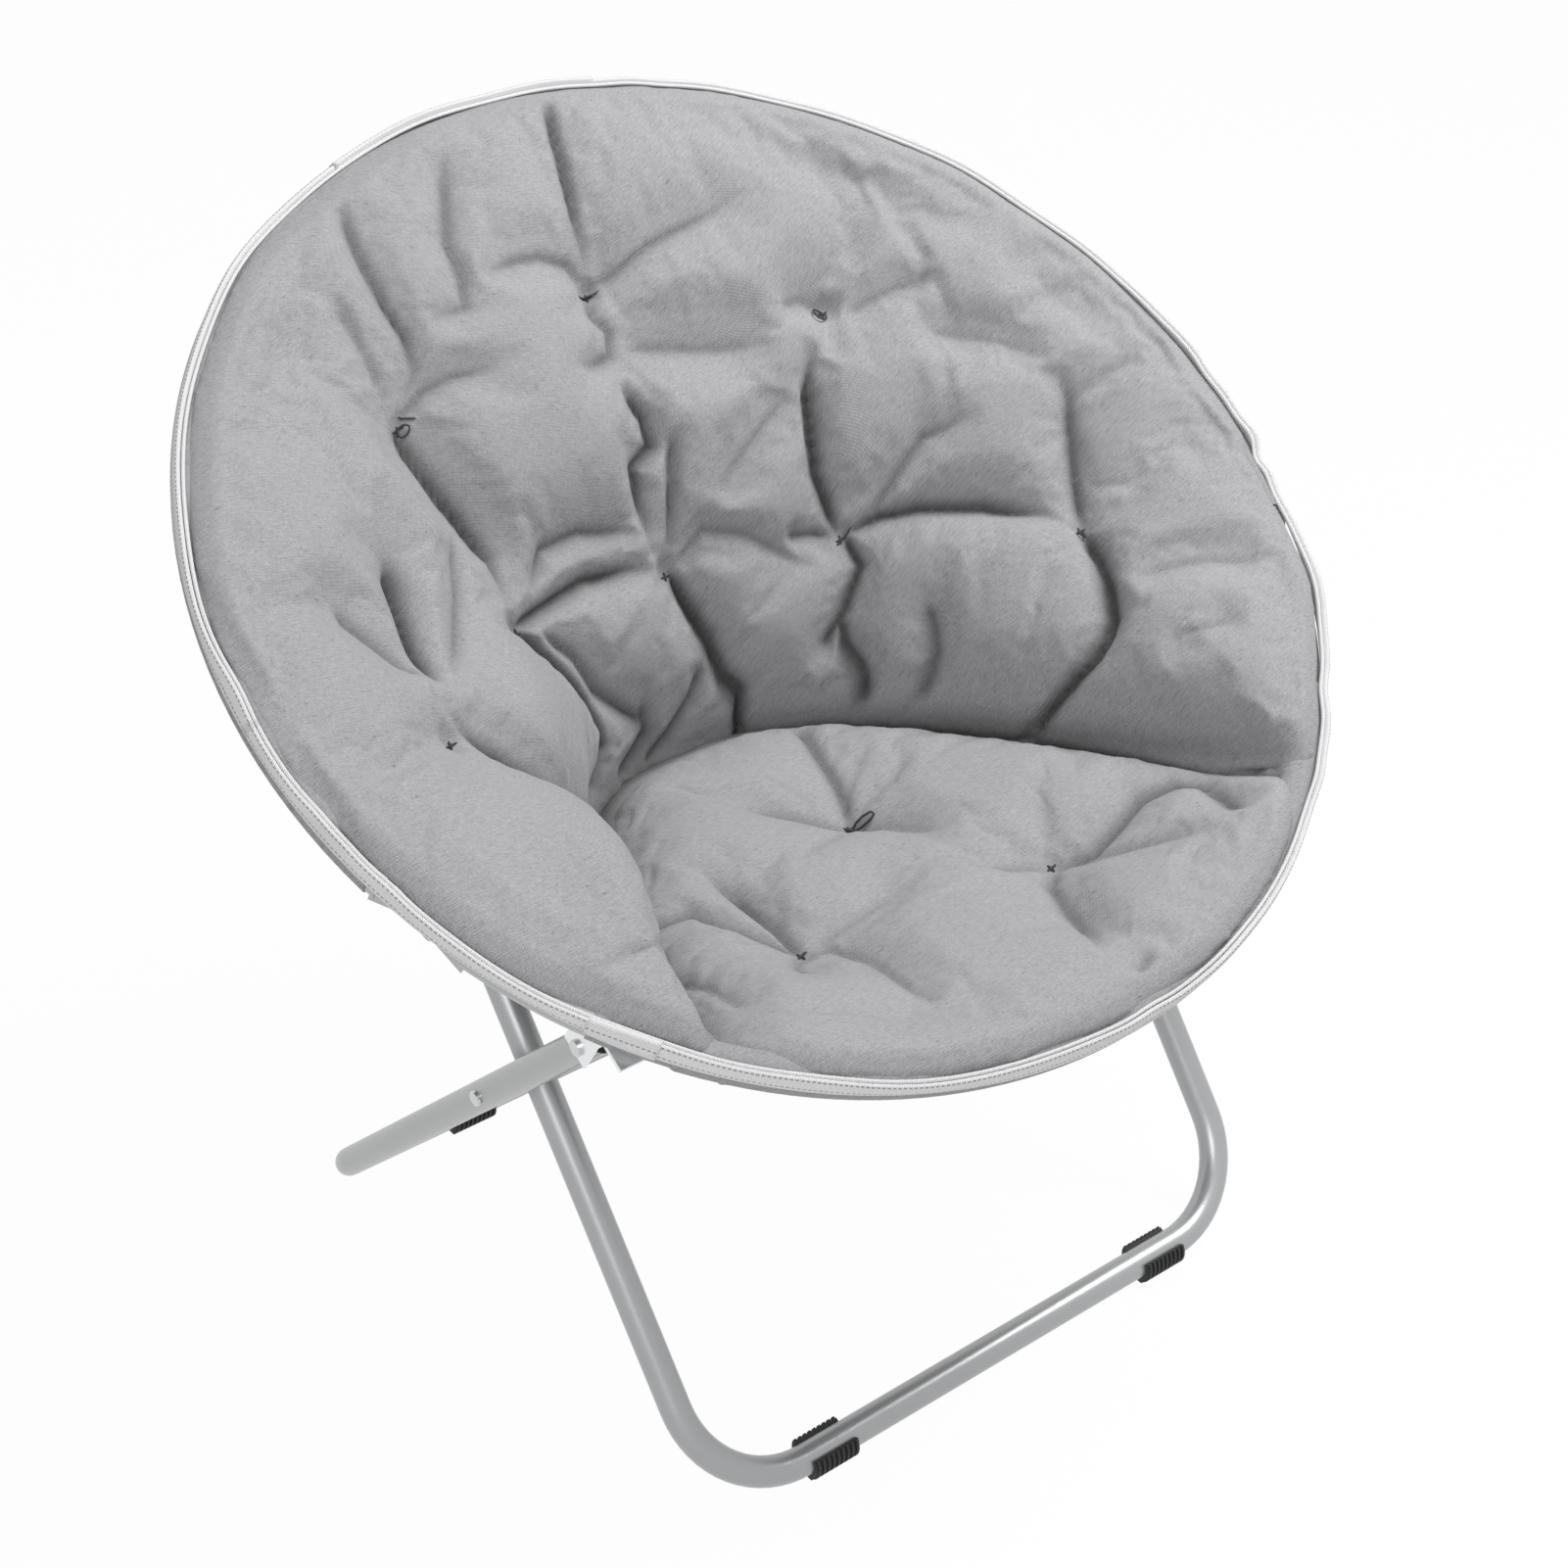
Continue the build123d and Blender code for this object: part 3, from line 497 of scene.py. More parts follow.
def bag(half):
    """A closed bag of cover: a top sheet shaped by the stuffing over a plainer lower sheet."""
    x, s, top, under = bag_points(half)
    out, up = rim_shift(np.degrees(np.arctan2(s, x)))
    r = np.hypot(x, s)
    edge = step(r, 0.365, 0.392)
    grow = 1 + out * edge / np.maximum(r, 0.1)
    sheets = [world(x * grow, s * grow, n).reshape(-1, 3) for n in (top + up * edge, under)]
    return new_object(half.name, np.concatenate(sheets), bag_faces(*x.shape))


def apply_modifiers(obj):
    bpy.context.view_layer.update()
    graph = bpy.context.evaluated_depsgraph_get()
    mesh = bpy.data.meshes.new_from_object(obj.evaluated_get(graph))
    old = obj.data
    obj.modifiers.clear()
    obj.data = mesh
    bpy.data.meshes.remove(old)


def smooth_faces(obj):
    for poly in obj.data.polygons:
        poly.use_smooth = True


def vertex_vectors(obj, field):
    """One vector per vertex: its place, field "co", or its normal, field "normal"."""
    values = np.empty(len(obj.data.vertices) * 3)
    obj.data.vertices.foreach_get(field, values)
    return values.reshape(-1, 3)


def set_coords(obj, co):
    obj.data.vertices.foreach_set("co", np.asarray(co, np.float32).ravel())
    obj.data.update()


def held(pad, half):
    """How firmly each point of the cover is held while it is blown up: 0 free, 1 fixed."""
    x, s, n = hoop_coords(vertex_vectors(pad, "co"))
    facing = vertex_vectors(pad, "normal") @ UN
    top = (facing > 0.15) & (n > half.height(x, s) - 0.006)
    pin = np.where(top, 0.0, 1.0)
    pin = np.maximum(pin, step(np.hypot(x, s), 0.374, 0.386))
    pin = np.maximum(pin, 1 - step(crease_distance(x, s), 0.006, 0.016))
    for d in tuft_distances(x, s, half.tufts):
        pin = np.maximum(pin, 1 - step(d, 0.004, 0.012))
    return np.maximum(pin, 0.85 * np.clip(sum(folds(x, s, half.lines)) / 0.006, 0, 1))


def make_pad(half):
    pad = bag(half)
    remesh = pad.modifiers.new("remesh", "REMESH")
    remesh.mode = "VOXEL"
    remesh.voxel_size = 0.005
    remesh.use_smooth_shade = True
    apply_modifiers(pad)
    smooth = pad.modifiers.new("smooth", "SMOOTH")
    smooth.factor = 0.5
    smooth.iterations = 1
    apply_modifiers(pad)
    pin = held(pad, half)
    simulate(pad, pin)
    sub = pad.modifiers.new("sub", "SUBSURF")
    sub.levels = sub.render_levels = 1
    apply_modifiers(pad)
    sink(pad, half)
    smooth_faces(pad)
    return pad


CLOTH_FRAMES = 16
MOST_BLOWN = 0.011  # no point of the cover moves further than this


def simulate(pad, pin):
    """Blows the stuffed cover up a little, held at its rim, its crease, its tufts and its folds."""
    rest = vertex_vectors(pad, "co")
    group = pad.vertex_groups.new(name="pin")
    for level in np.unique(np.round(pin, 1)):
        if level > 0:
            ids = [int(i) for i in np.flatnonzero(np.round(pin, 1) == level)]
            group.add(ids, float(level), "REPLACE")
    cloth = pad.modifiers.new("cloth", "CLOTH")
    c = cloth.settings
    c.quality = 4
    c.mass = 0.3
    c.tension_stiffness = 12
    c.compression_stiffness = 4
    c.shear_stiffness = 4
    c.bending_stiffness = 0.4
    c.use_pressure = True
    c.uniform_pressure_force = 4.0
    c.shrink_min = -0.035
    c.vertex_group_mass = "pin"
    c.pin_stiffness = 1.0
    c.effector_weights.gravity = 0.0
    cloth.collision_settings.use_collision = False
    cloth.collision_settings.use_self_collision = False
    cloth.point_cache.frame_start = 1
    cloth.point_cache.frame_end = 20
    for f in range(1, CLOTH_FRAMES + 1):
        SCENE.frame_set(f)
    bpy.context.view_layer.update()
    graph = bpy.context.evaluated_depsgraph_get()
    moved = vertex_vectors(pad.evaluated_get(graph), "co")
    pad.modifiers.remove(cloth)
    SCENE.frame_set(1)
    change = moved - rest
    size = np.linalg.norm(change, axis=1, keepdims=True)
    change = change * np.minimum(1, MOST_BLOWN / np.maximum(size, 1e-9))
    set_coords(pad, rest + change * (1 - pin[:, None]))


PINCH_GAIN = 1.25
FULL_PINCH = 0.006  # a pinch of this depth gets the full painted shade
TUFT_PIT = 0.008  # depth and reach of a tuft's pit


def sink(pad, half):
    """The narrow folds and the tufts' pits, drawn in after the cover has settled.

    The point attribute stored here says how deep in a fold or in the crease each point lies, 0 to 1; the
    canvas darkens the cover's colour by it, as painted shade in the folds and along the crease.
    """
    co = vertex_vectors(pad, "co")
    x, s, n = hoop_coords(co)
    normal = vertex_vectors(pad, "normal")
    facing = np.clip((normal @ UN + 0.2) * 4, 0, 1)
    up = facing * (n > half.height(x, s) - 0.016) * (1 - step(np.hypot(x, s), 0.388, 0.396))
    valley, pinch = folds(x, s, half.lines)
    depth = valley + PINCH_GAIN * pinch
    for d in tuft_distances(x, s, half.tufts):
        depth = np.maximum(depth, TUFT_PIT * bell(d, TUFT_PIT))
    set_coords(pad, co - normal * (depth * up)[:, None])
    # painted shade along the crease, reaching wider on the left, and in the narrow folds: it darkens the
    # colour, not the shape
    reach = 0.013 + 0.008 * step(-x, 0.05, 0.17)
    from_seam = np.hypot(crease_distance(x, s), n - crease(x)[1] + 0.010)
    deep = facing * bell(from_seam, reach, 1.5)
    painted_fold_shade = np.clip(np.maximum(pinch * up / FULL_PINCH, deep), 0, 1)
    attribute = pad.data.attributes.new("painted_fold_shade", "FLOAT", "POINT")
    attribute.data.foreach_set("value", painted_fold_shade.astype(np.float32))


# ---------------------------------------------------------------- cloth coordinates
GRID_HALF = 0.42
GRID_POINTS = 169


def store_uv(obj, uv):
    mesh = obj.data
    layer = mesh.uv_layers.new(name="cloth")
    corner = np.empty(len(mesh.loops), dtype=np.int64)
    mesh.loops.foreach_get("vertex_index", corner)
    layer.data.foreach_set("uv", np.asarray(uv)[corner].astype(np.float32).ravel())


def lay_out(obj, height):
    """Gives a cover its flat-cloth coordinates, in metres, from the surface that it follows."""
    line = np.linspace(-GRID_HALF, GRID_HALF, GRID_POINTS)
    gx, gs = np.meshgrid(line, line, indexing="ij")
    h = height(gx, gs)
    step_s = np.hypot(np.diff(gs, axis=1), np.diff(h, axis=1))
    step_x = np.hypot(np.diff(gx, axis=0), np.diff(h, axis=0))
    v = np.concatenate([np.zeros((GRID_POINTS, 1)), np.cumsum(step_s, axis=1)], axis=1)
    u = np.concatenate([np.zeros((1, GRID_POINTS)), np.cumsum(step_x, axis=0)], axis=0)
    x, s, _ = hoop_coords(vertex_vectors(obj, "co"))
    last = GRID_POINTS - 1.001
    fx = np.clip((x - line[0]) / (line[1] - line[0]), 0, last)
    fs = np.clip((s - line[0]) / (line[1] - line[0]), 0, last)
    i, j = fx.astype(int), fs.astype(int)
    a, b = fx - i, fs - j

    def pick(grid):
        return ((grid[i, j] * (1 - a) + grid[i + 1, j] * a) * (1 - b)
                + (grid[i, j + 1] * (1 - a) + grid[i + 1, j + 1] * a) * b)

    store_uv(obj, np.stack([pick(u), pick(v)], axis=1))


back_pad = make_pad(BackHalf)
seat_pad = make_pad(SeatHalf)
lay_out(back_pad, back_height)
lay_out(seat_pad, seat_height)

# ---------------------------------------------------------------- woven edging
# profiles: points (outwards from the middle of the hoop's tube, up from the hoop's plane)
FIN = [(0.0072, 0.0096), (0.0096, 0.0070), (0.0124, 0.0052), (0.0134, 0.0070), (0.0130, 0.0110),
       (0.0118, 0.0140), (0.0102, 0.0150), (0.0090, 0.0142), (0.0084, 0.0124), (0.0076, 0.0112)]
LAP = [(0.0066, 0.0096), (0.0096, 0.0064), (0.0128, 0.0042), (0.0146, 0.0066), (0.0142, 0.0114),
       (0.0128, 0.0150), (0.0104, 0.0162), (0.0084, 0.0152), (0.0076, 0.0128), (0.0066, 0.0116)]
TOP_STRIP = [(out + 0.0004, up + 0.0018) for out, up in FIN]
PIPING_OUT, PIPING_UP, PIPING_R = 0.0066, 0.0128, 0.0013
PIPING = [(PIPING_OUT + PIPING_R * math.cos(t), PIPING_UP + PIPING_R * math.sin(t))
          for t in np.linspace(0, 2 * np.pi, 9)[:-1]]
ROUND = np.arange(-180.0, 180.0, 0.75)
SEWN_UP = 0.0070  # up to this height the edging lies on the sleeve and doesn't wander
LOOSE_OVER = 0.005  # and over this much more it comes loose
FOOT_UP = 0.0096  # above this height the edging stands taller at the front than at the top


def swept(name, angles, profile, loose=1.0, closed=False):
    """A closed profile carried round the hoop through the angles, in degrees."""
    prof = np.array(profile)
    k = len(prof)
    out_part, up_part = prof.T
    verts, uv = [], []
    across = np.concatenate([[0], np.cumsum(np.hypot(*np.diff(prof, axis=0).T))])
    free = loose * np.clip((up_part - SEWN_UP) / LOOSE_OVER, 0, 1)
    for angle in angles:
        a = math.radians(angle)
        out, up = rim_shift(angle)
        tall = 1.25 - 0.35 * math.sin(a)
        level = FOOT_UP + (up_part - FOOT_UP) * np.where(up_part > FOOT_UP, tall, 1.0)
        radius = HOOP_R + out_part + out * free
        verts.append(world(radius * math.cos(a), radius * math.sin(a), level + up * free))
        uv.append(np.stack([np.full(k, a * HOOP_R), across], axis=1))
    count = len(angles)
    faces = []
    for i in range(count if closed else count - 1):
        for j in range(k):
            a, b = i * k + j, i * k + (j + 1) % k
            c, d = (i + 1) % count * k + (j + 1) % k, (i + 1) % count * k + j
            faces.append((a, b, c, d))
    if not closed:
        faces.append(tuple(range(k))[::-1])
        faces.append(tuple(range((count - 1) * k, count * k)))
    obj = new_object(name, np.concatenate(verts), faces)
    smooth_faces(obj)
    store_uv(obj, np.concatenate(uv))
    outward_normals(obj)
    return obj


def outward_normals(obj):
    bm = bmesh.new()
    bm.from_mesh(obj.data)
    bmesh.ops.recalc_face_normals(bm, faces=bm.faces)
    bm.to_mesh(obj.data)
    bm.free()


tape = swept("woven_edging", ROUND, FIN, closed=True)
lap = swept("edging_lap", np.arange(-141.5, -134.5, 0.5), LAP)
piping = swept("edge_piping", ROUND, PIPING, loose=0.9, closed=True)
top_strip = swept("top_edging", np.arange(78.0, 111.0, 0.5), TOP_STRIP, loose=1.2)

# ---------------------------------------------------------------- tuft threads
THREAD_SIDES = 6
RAY_START = 0.25  # height over the hoop's plane from which the cover is looked for


def surface_tree(obj):
    bpy.context.view_layer.update()
    return BVHTree.FromObject(obj, bpy.context.evaluated_depsgraph_get())


def on_surface(tree, x, s, lift):
    """The point of a cover under (x, s), raised a little; x, s and lift in mm."""
    origin = world(x / 1000, s / 1000, RAY_START).reshape(3)
    hit, normal, _, _ = tree.ray_cast(Vector(origin), Vector(-UN))
    return np.array(hit) + np.array(normal) * (lift / 1000) if hit is not None else origin


def thread_line(tree, path):
    """A path's points on the cover, with two more between each pair."""
    points = [on_surface(tree, x, s, lift) for x, s, lift in path]
    fine = [a * (1 - t) + b * t for a, b in zip(points[:-1], points[1:]) for t in (0.0, 0.33, 0.67)]
    return np.array(fine + [points[-1]])


def unit(vector):
    return vector / max(np.linalg.norm(vector), 1e-9)


def thread(name, tree, paths, radius):
    """Sewing thread lying on a cover: each path is a list of (x, s, lift), in mm."""
    verts, faces = [], []
    for path in paths:
        line = thread_line(tree, path)
        last = len(line) - 1
        base = len(verts)
        for i, point in enumerate(line):
            ahead = unit(line[min(i + 1, last)] - line[max(i - 1, 0)])
            side = unit(np.cross(ahead, UN))
            up = np.cross(side, ahead)
            for t in np.linspace(0, 2 * np.pi, THREAD_SIDES + 1)[:-1]:
                verts.append(point + radius * (side * math.cos(t) + up * math.sin(t)))
        for i in range(last):
            start = base + i * THREAD_SIDES
            for j in range(THREAD_SIDES):
                a, b = start + j, start + (j + 1) % THREAD_SIDES
                faces.append((a, b, b + THREAD_SIDES, a + THREAD_SIDES))
        faces.append(tuple(base + j for j in range(THREAD_SIDES))[::-1])
        faces.append(tuple(base + last * THREAD_SIDES + j for j in range(THREAD_SIDES)))
    obj = new_object(name, verts, faces)
    smooth_faces(obj)
    outward_normals(obj)
    return obj


def loop_of(x, s, wide, tall, turn, lift=1.2):
    """A small loose loop of thread through (x, s); all in mm but turn, the angle that it starts at."""
    pts = []
    for k in range(9):
        t = turn + k / 8 * 2 * math.pi
        pts.append((x + wide * (math.cos(t) - math.cos(turn)), s + tall * (math.sin(t) - math.sin(turn)),
                    lift + 1.4 * math.sin(k / 8 * math.pi)))
    return pts


def stitch(x, s, dx, ds):
    """A straight stitch that dives into the cover at both ends."""
    return [(x + share * dx, s + share * ds, lift)
            for share, lift in ((-1, -0.6), (-0.6, 0.9), (0.6, 0.9), (1, -0.6))]


BACK_STITCHES = []
for tx, ts in BACK_TUFTS:
    BACK_STITCHES += [stitch(tx, ts, 4.5, 0.4), stitch(tx - 0.4, ts, 0.6, 3.2)]
BACK_STITCHES += [stitch(4, 249, 10, 0.6), loop_of(181, 187, 7, 6, 0.6), loop_of(-178, 199, 4, 3, 2.6),
                  stitch(-170, 203, 5, -3), stitch(140, 46, 7, 3), loop_of(268, -50, 3, 3, 1.0)]
SEAT_STITCHES = []
for tx, ts in SEAT_TUFTS:
    SEAT_STITCHES += [stitch(tx, ts, 4.5, 1.0), stitch(tx, ts, -0.6, 3.2)]
SEAT_STITCHES += [loop_of(36, -150, 6, 3.5, 2.8), loop_of(33, -152, 4, 5, 0.4), stitch(33, -150, 5, -3)]
back_threads = thread("back_threads", surface_tree(back_pad), BACK_STITCHES, 0.00075)
seat_threads = thread("seat_threads", surface_tree(seat_pad), SEAT_STITCHES, 0.00085)


# ---------------------------------------------------------------- node trees
class Nodes:
    """A node tree, with short calls for the few nodes used here."""

    def __init__(self, tree):
        self.tree = tree

    def node(self, kind, **values):
        n = self.tree.nodes.new(kind)
        for key, value in values.items():
            setattr(n, key, value)
        return n

    def put(self, source, target):
        if isinstance(source, (int, float, tuple)):
            target.default_value = source
        else:
            self.tree.links.new(source, target)

    def math(self, operation, a, b=0.0, c=0.0):
        n = self.node("ShaderNodeMath", operation=operation)
        for source, target in zip((a, b, c), n.inputs):
            self.put(source, target)
        return n.outputs[0]

    def noise(self, vector, scale, detail=2.0):
        n = self.node("ShaderNodeTexNoise")
        n.inputs["Scale"].default_value = scale
        n.inputs["Detail"].default_value = detail
        self.put(vector, n.inputs["Vector"])
        return n.outputs["Fac"]

    def join(self, x, y):
        n = self.node("ShaderNodeCombineXYZ")
        self.put(x, n.inputs[0])
        self.put(y, n.inputs[1])
        return n.outputs[0]

    def stretched_noise(self, u, v, scale_u, scale_v, detail):
        """Noise with its own fineness along each of the two coordinates."""
        plane = self.join(self.math("MULTIPLY", u, scale_u), self.math("MULTIPLY", v, scale_v))
        return self.noise(plane, 1.0, detail)

    def vary(self, tone, pattern, gain):
        """Adds a pattern of mean 0.5 to a tone, so that the mean tone stays."""
        return self.math("MULTIPLY_ADD", self.math("SUBTRACT", pattern, 0.5), gain, tone)

    def clear_view(self):
        """1 for rays from the camera and those that glossy or clear surfaces pass on, else 0."""
        path = self.node("ShaderNodeLightPath").outputs
        seen = self.math("MAXIMUM", path["Is Camera Ray"], path["Is Glossy Ray"])
        return self.math("MAXIMUM", seen, path["Is Transmission Ray"])


class Finish(Nodes):
    """The node tree of a new material with one main shader."""

    def __init__(self, name):
        self.material = bpy.data.materials.new(name)
        self.material.use_nodes = True
        super().__init__(self.material.node_tree)
        self.shader = self.tree.nodes["Principled BSDF"]

    def shade(self, color, factor):
        n = self.node("ShaderNodeVectorMath", operation="SCALE")
        n.inputs[0].default_value = color
        self.put(factor, n.inputs["Scale"])
        self.put(n.outputs[0], self.shader.inputs["Base Color"])

    def bump(self, height, strength, distance):
        n = self.node("ShaderNodeBump")
        n.inputs["Strength"].default_value = strength
        n.inputs["Distance"].default_value = distance
        self.put(height, n.inputs["Height"])
        self.put(n.outputs[0], self.shader.inputs["Normal"])

    def set(self, **values):
        for key, value in values.items():
            self.shader.inputs[key.replace("_", " ")].default_value = value

    def object_place(self):
        return self.node("ShaderNodeTexCoord").outputs["Object"]

    def cloth_uv(self, sewn):
        """Two coordinates along the threads: from the piece's own layout, or along the hoop's plane."""
        split = self.node("ShaderNodeSeparateXYZ")
        if sewn:
            uv = self.node("ShaderNodeUVMap", uv_map="cloth")
            self.put(uv.outputs[0], split.inputs[0])
            return split.outputs[0], split.outputs[1]
        self.put(self.object_place(), split.inputs[0])
        up = self.math("MULTIPLY_ADD", split.outputs[1], 0.7, split.outputs[2])
        return split.outputs[0], up


# ---------------------------------------------------------------- finishes
YARN_PITCH = 0.0017
TWILL_PITCH = 0.0016
STITCH_PITCH = 0.0034


def canvas(name, color, sewn=True):
    """Plain-woven cotton canvas with uneven yarns and a few dark slubs; a sewn cover also gets painted
    shade, darker in its folds and along the crease.
    """
    n = Finish(name)
    u, v = n.cloth_uv(sewn)
    turn = 2 * math.pi / YARN_PITCH
    plane = n.join(u, v)
    wander = n.noise(plane, 90, 2)
    weft = n.math("SINE", n.math("MULTIPLY_ADD", v, turn, n.math("MULTIPLY", wander, 5.0)))
    warp = n.math("SINE", n.math("MULTIPLY_ADD", u, turn * 1.1, n.math("MULTIPLY", wander, 4.0)))
    weft_yarn = n.stretched_noise(u, v, 150, 800, 1)
    warp_yarn = n.stretched_noise(u, v, 800, 200, 1)
    speck = n.stretched_noise(u, v, 170, 420, 0)
    slub = n.math("MULTIPLY", n.math("GREATER_THAN", speck, 0.79), -0.22)
    tone = n.math("MULTIPLY_ADD", weft, 0.06, 1.0)
    tone = n.math("MULTIPLY_ADD", warp, 0.045, tone)
    cloud = n.noise(plane, 14, 3)
    grain = n.noise(plane, 750, 1)
    for pattern, gain in ((weft_yarn, 0.52), (warp_yarn, 0.36), (cloud, 0.08), (grain, 0.40)):
        tone = n.vary(tone, pattern, gain)
    tone = n.math("ADD", tone, slub)
    # painted shade: the colour darkened in the cover's folds and along the crease
    if sewn:
        painted_shade = n.node("ShaderNodeAttribute", attribute_name="painted_fold_shade").outputs["Fac"]
        tone = n.math("MULTIPLY", tone, n.math("MULTIPLY_ADD", painted_shade, -0.72, 1.0))
    n.shade(color, tone)
    weave = n.math("ADD", n.math("MULTIPLY", weft, warp), n.math("MULTIPLY", weft_yarn, 1.2))
    n.bump(weave, 0.35, 0.0003)
    n.set(Roughness=0.92, Specular_IOR_Level=0.2, Sheen_Weight=0.12, Sheen_Roughness=0.5)
    return n.material


def herringbone(name, color):
    """Narrow woven tape with a zigzag twill and two rows of stitching."""
    n = Finish(name)
    u, v = n.cloth_uv(True)
    fold = n.math("PINGPONG", v, 0.0028)
    slant = n.math("ADD", n.math("MULTIPLY", u, 2 * math.pi / TWILL_PITCH), n.math("MULTIPLY", fold, 2600))
    twill = n.math("SINE", slant)
    fuzz = n.stretched_noise(u, v, 900, 900, 1)
    dash = n.math("LESS_THAN", n.math("FRACT", n.math("MULTIPLY", u, 1 / STITCH_PITCH)), 0.6)
    rows = [n.math("LESS_THAN", n.math("ABSOLUTE", n.math("SUBTRACT", v, place)), half_width)
            for place, half_width in ((0.0163, 0.0005), (0.0108, 0.0004))]
    sewn = n.math("MULTIPLY", dash, n.math("MAXIMUM", *rows))
    tone = n.math("MULTIPLY_ADD", twill, 0.07, 0.98)
    tone = n.math("MULTIPLY_ADD", sewn, -0.5, tone)
    n.shade(color, n.vary(tone, fuzz, 0.25))
    n.bump(twill, 0.5, 0.0004)
    n.set(Roughness=0.9, Specular_IOR_Level=0.2)
    return n.material


def metal(name, color, metallic, roughness, grain, coat=0.0):
    """Painted, plated or bare steel, a little uneven in tone and in polish."""
    n = Finish(name)
    place = n.object_place()
    fine = n.noise(place, grain, 3)
    broad = n.noise(place, 9, 2)
    n.shade(color, n.math("MULTIPLY_ADD", broad, 0.10, 0.95))
    n.put(n.math("MULTIPLY_ADD", fine, 0.12, roughness - 0.06), n.shader.inputs["Roughness"])
    n.bump(fine, 0.06, 0.0002)
    n.set(Metallic=metallic, Coat_Weight=coat, Coat_Roughness=0.25)
    return n.material


def matt(name, color, roughness, grain):
    """A matt, grainy surface: moulded plastic, rubber or thread."""
    n = Finish(name)
    fine = n.noise(n.object_place(), grain, 3)
    n.shade(color, n.math("MULTIPLY_ADD", fine, 0.5, 0.75))
    n.bump(fine, 0.15, 0.0003)
    n.set(Roughness=roughness)
    return n.material


cover_cloth = canvas("cover_canvas", (0.365, 0.365, 0.375))
tape_cloth = herringbone("edging_tape", (0.80, 0.80, 0.80))
finishes = {
    "frame_paint": metal("silver_paint", (0.40, 0.405, 0.41), 0.6, 0.34, 1400, coat=0.2),
    "zinc_steel": metal("bright_zinc", (0.80, 0.81, 0.82), 0.9, 0.24, 500),
    "rivet_steel": metal("satin_steel", (0.62, 0.62, 0.63), 0.9, 0.3, 700),
    "black_plastic": matt("black_plastic", (0.018, 0.018, 0.019), 0.45, 600),
    "foot_rubber": matt("black_rubber", (0.022, 0.022, 0.023), 0.7, 900),
    "seat_fabric": canvas("sleeve_canvas", (0.33, 0.33, 0.34), sewn=False),
    "woven_tape": tape_cloth,
    "tuft_thread": matt("dark_thread", (0.05, 0.05, 0.052), 0.9, 2500),
}


def dress(obj, material):
    obj.data.materials.clear()
    obj.data.materials.append(material)


for entry in frame["record"]["subparts"]:
    for slot in frame["nodes"][entry["node"]].material_slots:
        slot.material = finishes[entry["material_slot"]]

# ---------------------------------------------------------------- how the soft pieces go with the frame
for pad, threads, body, nodes in (
    (back_pad, back_threads, "back_hoop", ("back_pad",)),
    (seat_pad, seat_threads, "front_hoop", ("seat_pad",)),
):
    dress(pad, cover_cloth)
    dress(threads, finishes["tuft_thread"])
    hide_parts(*nodes)
    for piece in (pad, threads):
        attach(piece, body)
        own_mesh(piece)
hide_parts("back_tufts")
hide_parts("seat_tufts")

for piece in (tape, piping):
    dress(piece, tape_cloth)
    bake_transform(piece)
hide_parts("front_edging", "back_edging")
for piece, body in ((lap, "front_hoop"), (top_strip, "back_hoop")):
    dress(piece, tape_cloth)
    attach(piece, body)

# ---------------------------------------------------------------- floor, light and camera
FLOOR_GLOW = 0.97  # share of plain white in the floor that the camera sees
WORLD_LEVEL = 0.30  # the white surroundings' light; to the camera they are full white
PHOTO_SIDE = 1601  # pixels
FOCAL_PIXELS = 2766.08
SENSOR = 36.0  # mm


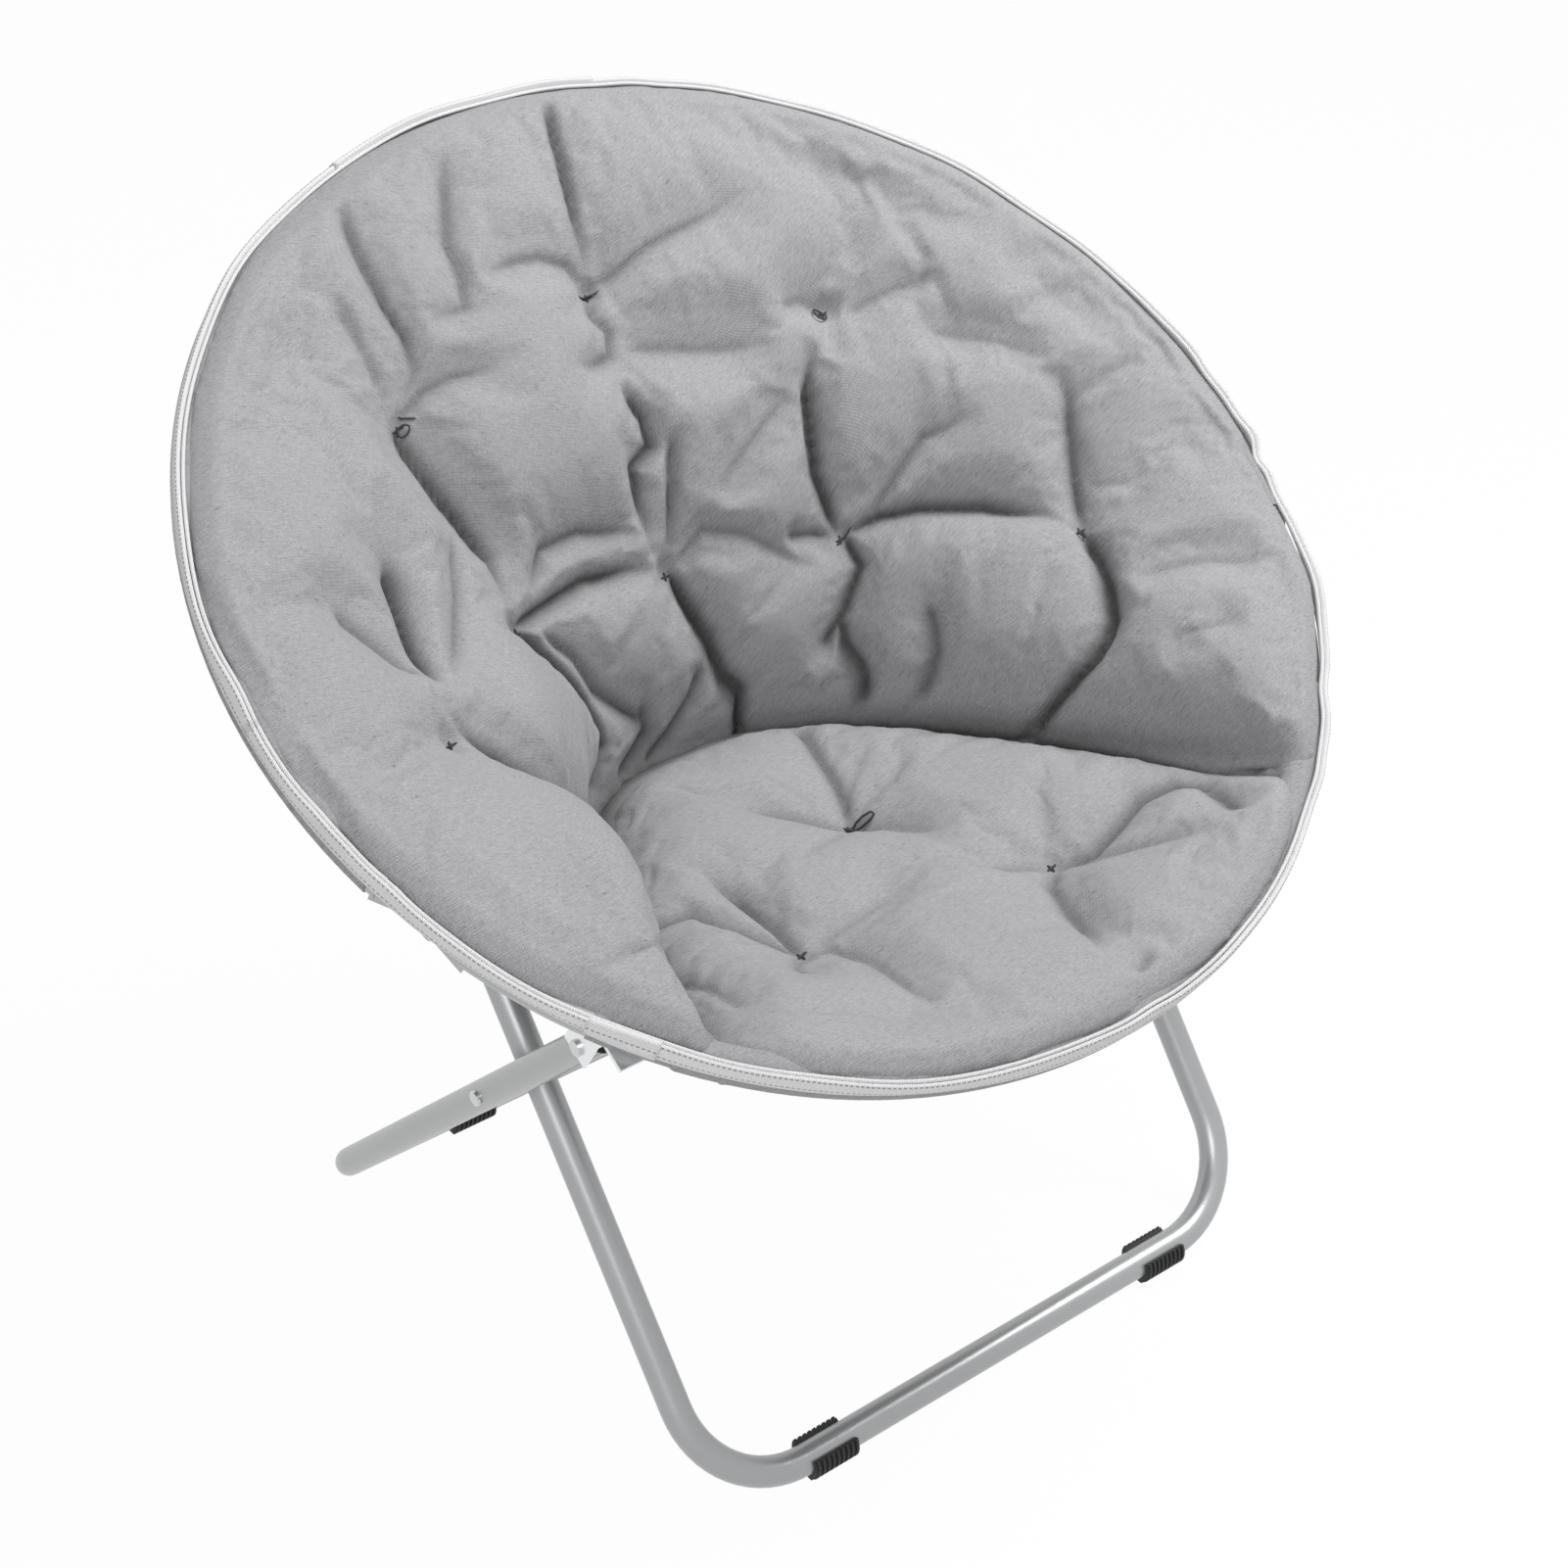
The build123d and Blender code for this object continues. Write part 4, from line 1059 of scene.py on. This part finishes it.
def floor_material():
    n = Finish("floor")
    n.set(Base_Color=(0.9, 0.9, 0.9, 1), Roughness=1.0, Specular_IOR_Level=0.0)
    glow = n.node("ShaderNodeEmission")
    glow.inputs["Color"].default_value = (1, 1, 1, 1)
    glow.inputs["Strength"].default_value = 1.0
    mix = n.node("ShaderNodeMixShader")
    n.put(n.math("MULTIPLY", n.clear_view(), FLOOR_GLOW), mix.inputs[0])
    n.put(n.shader.outputs[0], mix.inputs[1])
    n.put(glow.outputs[0], mix.inputs[2])
    n.put(mix.outputs[0], n.tree.nodes["Material Output"].inputs["Surface"])
    return n.material


def white_surroundings():
    SCENE.world = SCENE.world or bpy.data.worlds.new("world")
    SCENE.world.use_nodes = True
    n = Nodes(SCENE.world.node_tree)
    background = n.tree.nodes["Background"]
    background.inputs["Color"].default_value = (1, 1, 1, 1)
    level = n.math("MULTIPLY_ADD", n.clear_view(), 1.0 - WORLD_LEVEL, WORLD_LEVEL)
    n.put(level, background.inputs["Strength"])


def lamp(name, place, aim, side, power):
    """A square area lamp that points from its place at the aim."""
    data = bpy.data.lights.new(name, "AREA")
    data.shape = "RECTANGLE"
    data.size = data.size_y = side
    data.energy = power
    obj = bpy.data.objects.new(name, data)
    obj.location = place
    obj.rotation_euler = (Vector(aim) - Vector(place)).to_track_quat("-Z", "Y").to_euler()
    SCENE.collection.objects.link(obj)


bpy.ops.mesh.primitive_plane_add(size=30, location=(0, 0, -0.0005))
floor = bpy.context.object
floor.name = "floor"
floor.data.materials.append(floor_material())

white_surroundings()
lamp("key", (1.15, -0.4, 2.6), (0, 0.05, 0.5), 1.2, 57)
lamp("fill", (-1.9, -1.5, 2.0), (0, 0, 0.5), 1.4, 26)

camera_data = bpy.data.cameras.new("camera")
camera_data.sensor_width = SENSOR
camera_data.lens = FOCAL_PIXELS / PHOTO_SIDE * SENSOR
camera = bpy.data.objects.new("camera", camera_data)
RIGHT = Vector((0.78982, -0.61332, -0.00389))
UPWARD = Vector((0.33740, 0.42918, 0.83783))
BEHIND = Vector((-0.51219, -0.66305, 0.54592))
PLACE = Vector((-0.9925, -1.2876, 1.4318))
turned = Matrix((RIGHT, UPWARD, BEHIND)).transposed()
camera.matrix_world = Matrix.Translation(PLACE) @ turned.to_4x4()
SCENE.collection.objects.link(camera)
SCENE.camera = camera
SCENE.view_settings.view_transform = "Standard"
